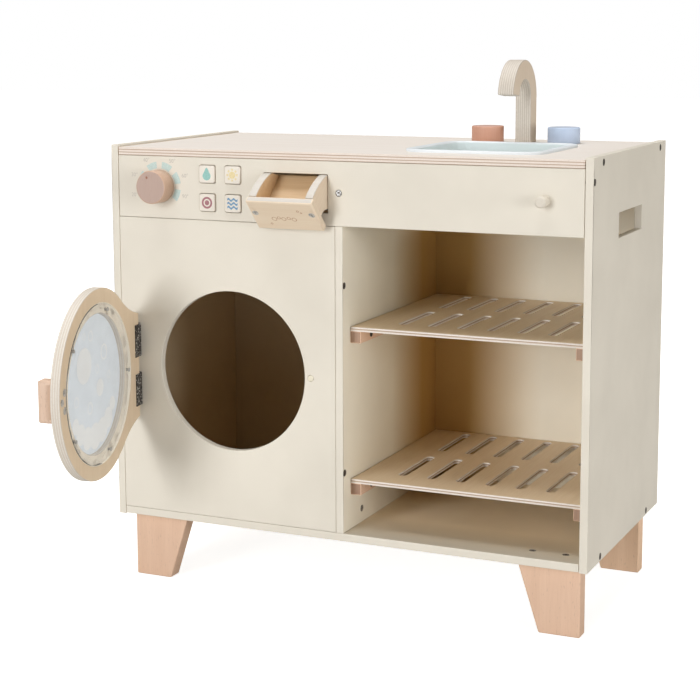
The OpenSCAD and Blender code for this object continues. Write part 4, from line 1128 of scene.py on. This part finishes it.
def add_camera():
    """A camera that stands where the photograph's stood."""
    data = bpy.data.cameras.new("camera")
    made = link("camera", data)
    bpy.context.scene.camera = made
    made.location = place(*CAMERA_PLACE)
    aim = (Matrix.Rotation(math.radians(CAMERA_YAW), 3, "Z")
           @ Matrix.Rotation(math.radians(90 - CAMERA_PITCH), 3, "X")
           @ Matrix.Rotation(math.radians(CAMERA_ROLL), 3, "Z"))
    made.rotation_euler = aim.to_euler()
    data.sensor_width = SENSOR_WIDTH
    data.lens = FOCAL_PIXELS / IMAGE_SIDE * SENSOR_WIDTH
    data.shift_x = 0.5 - AXIS_ACROSS / IMAGE_SIDE
    data.shift_y = AXIS_DOWN / IMAGE_SIDE - 0.5
    data.clip_end = CLIP_END


def area_light(name, where, at, size, power):
    """A soft light, so wide and so tall, that points at a place."""
    data = bpy.data.lights.new(name, "AREA")
    data.shape = "RECTANGLE"
    data.size, data.size_y = size
    data.energy = power
    data.color = LAMP_COLOUR
    made = link(name, data)
    made.location = where
    made.rotation_euler = (Vector(at) - Vector(where)).to_track_quat("-Z", "Y").to_euler()


def studio_world():
    """Soft light from all round, and plain white where the camera looks past everything."""
    world = bpy.data.worlds.new("studio")
    bpy.context.scene.world = world
    world.use_nodes = True
    nodes, links = world.node_tree.nodes, world.node_tree.links
    around = nodes["Background"]
    around.inputs["Color"].default_value = AROUND_COLOUR
    around.inputs["Strength"].default_value = AROUND_STRENGTH
    white = nodes.new("ShaderNodeBackground")
    white.inputs["Color"].default_value = WHITE
    white.inputs["Strength"].default_value = 1
    paths = nodes.new("ShaderNodeLightPath")
    seen = nodes.new("ShaderNodeMath")
    seen.operation = "MAXIMUM"
    links.new(paths.outputs["Is Camera Ray"], seen.inputs[0])
    links.new(paths.outputs["Is Transmission Ray"], seen.inputs[1])
    choose = nodes.new("ShaderNodeMixShader")
    links.new(seen.outputs[0], choose.inputs[0])
    links.new(around.outputs[0], choose.inputs[1])
    links.new(white.outputs[0], choose.inputs[2])
    links.new(choose.outputs[0], nodes["World Output"].inputs["Surface"])


def add_floor():
    """A wide pale floor that takes soft shadows and is otherwise as white as the background."""
    mesh = bpy.data.meshes.new("floor")
    half = FLOOR_HALF
    mesh.from_pydata([(-half, -half, 0), (half, -half, 0), (half, half, 0), (-half, half, 0)],
                     [], [(0, 1, 2, 3)])
    made = link("floor", mesh)
    shader = Shader("floor_white", FLOOR_COLOUR, 0.9)
    glow = shader.node("Emission")
    glow.inputs["Color"].default_value = WHITE
    far = shader.node("VectorMath", operation="LENGTH")
    shader.link(shader.place(), far.inputs[0])
    shader.link(shader.spread(far.outputs["Value"], *GLOW_FROM_TO, *GLOW_STRENGTH),
                glow.inputs["Strength"])
    both = shader.node("AddShader")
    shader.link(shader.main.outputs[0], both.inputs[0])
    shader.link(glow.outputs[0], both.inputs[1])
    paths = shader.node("LightPath")
    seen = shader.math("MAXIMUM", paths.outputs["Is Camera Ray"],
                       paths.outputs["Is Transmission Ray"])
    choose = shader.node("MixShader")
    shader.link(seen, choose.inputs[0])
    shader.link(shader.main.outputs[0], choose.inputs[1])
    shader.link(both.outputs[0], choose.inputs[2])
    shader.link(choose.outputs[0], shader.tree.nodes["Material Output"].inputs["Surface"])
    mesh.materials.append(shader.material)


add_camera()
for name, (where, at, size, power) in LAMPS.items():
    area_light(name, where, at, size, power)
studio_world()
add_floor()
bpy.context.scene.view_settings.view_transform = "Standard"
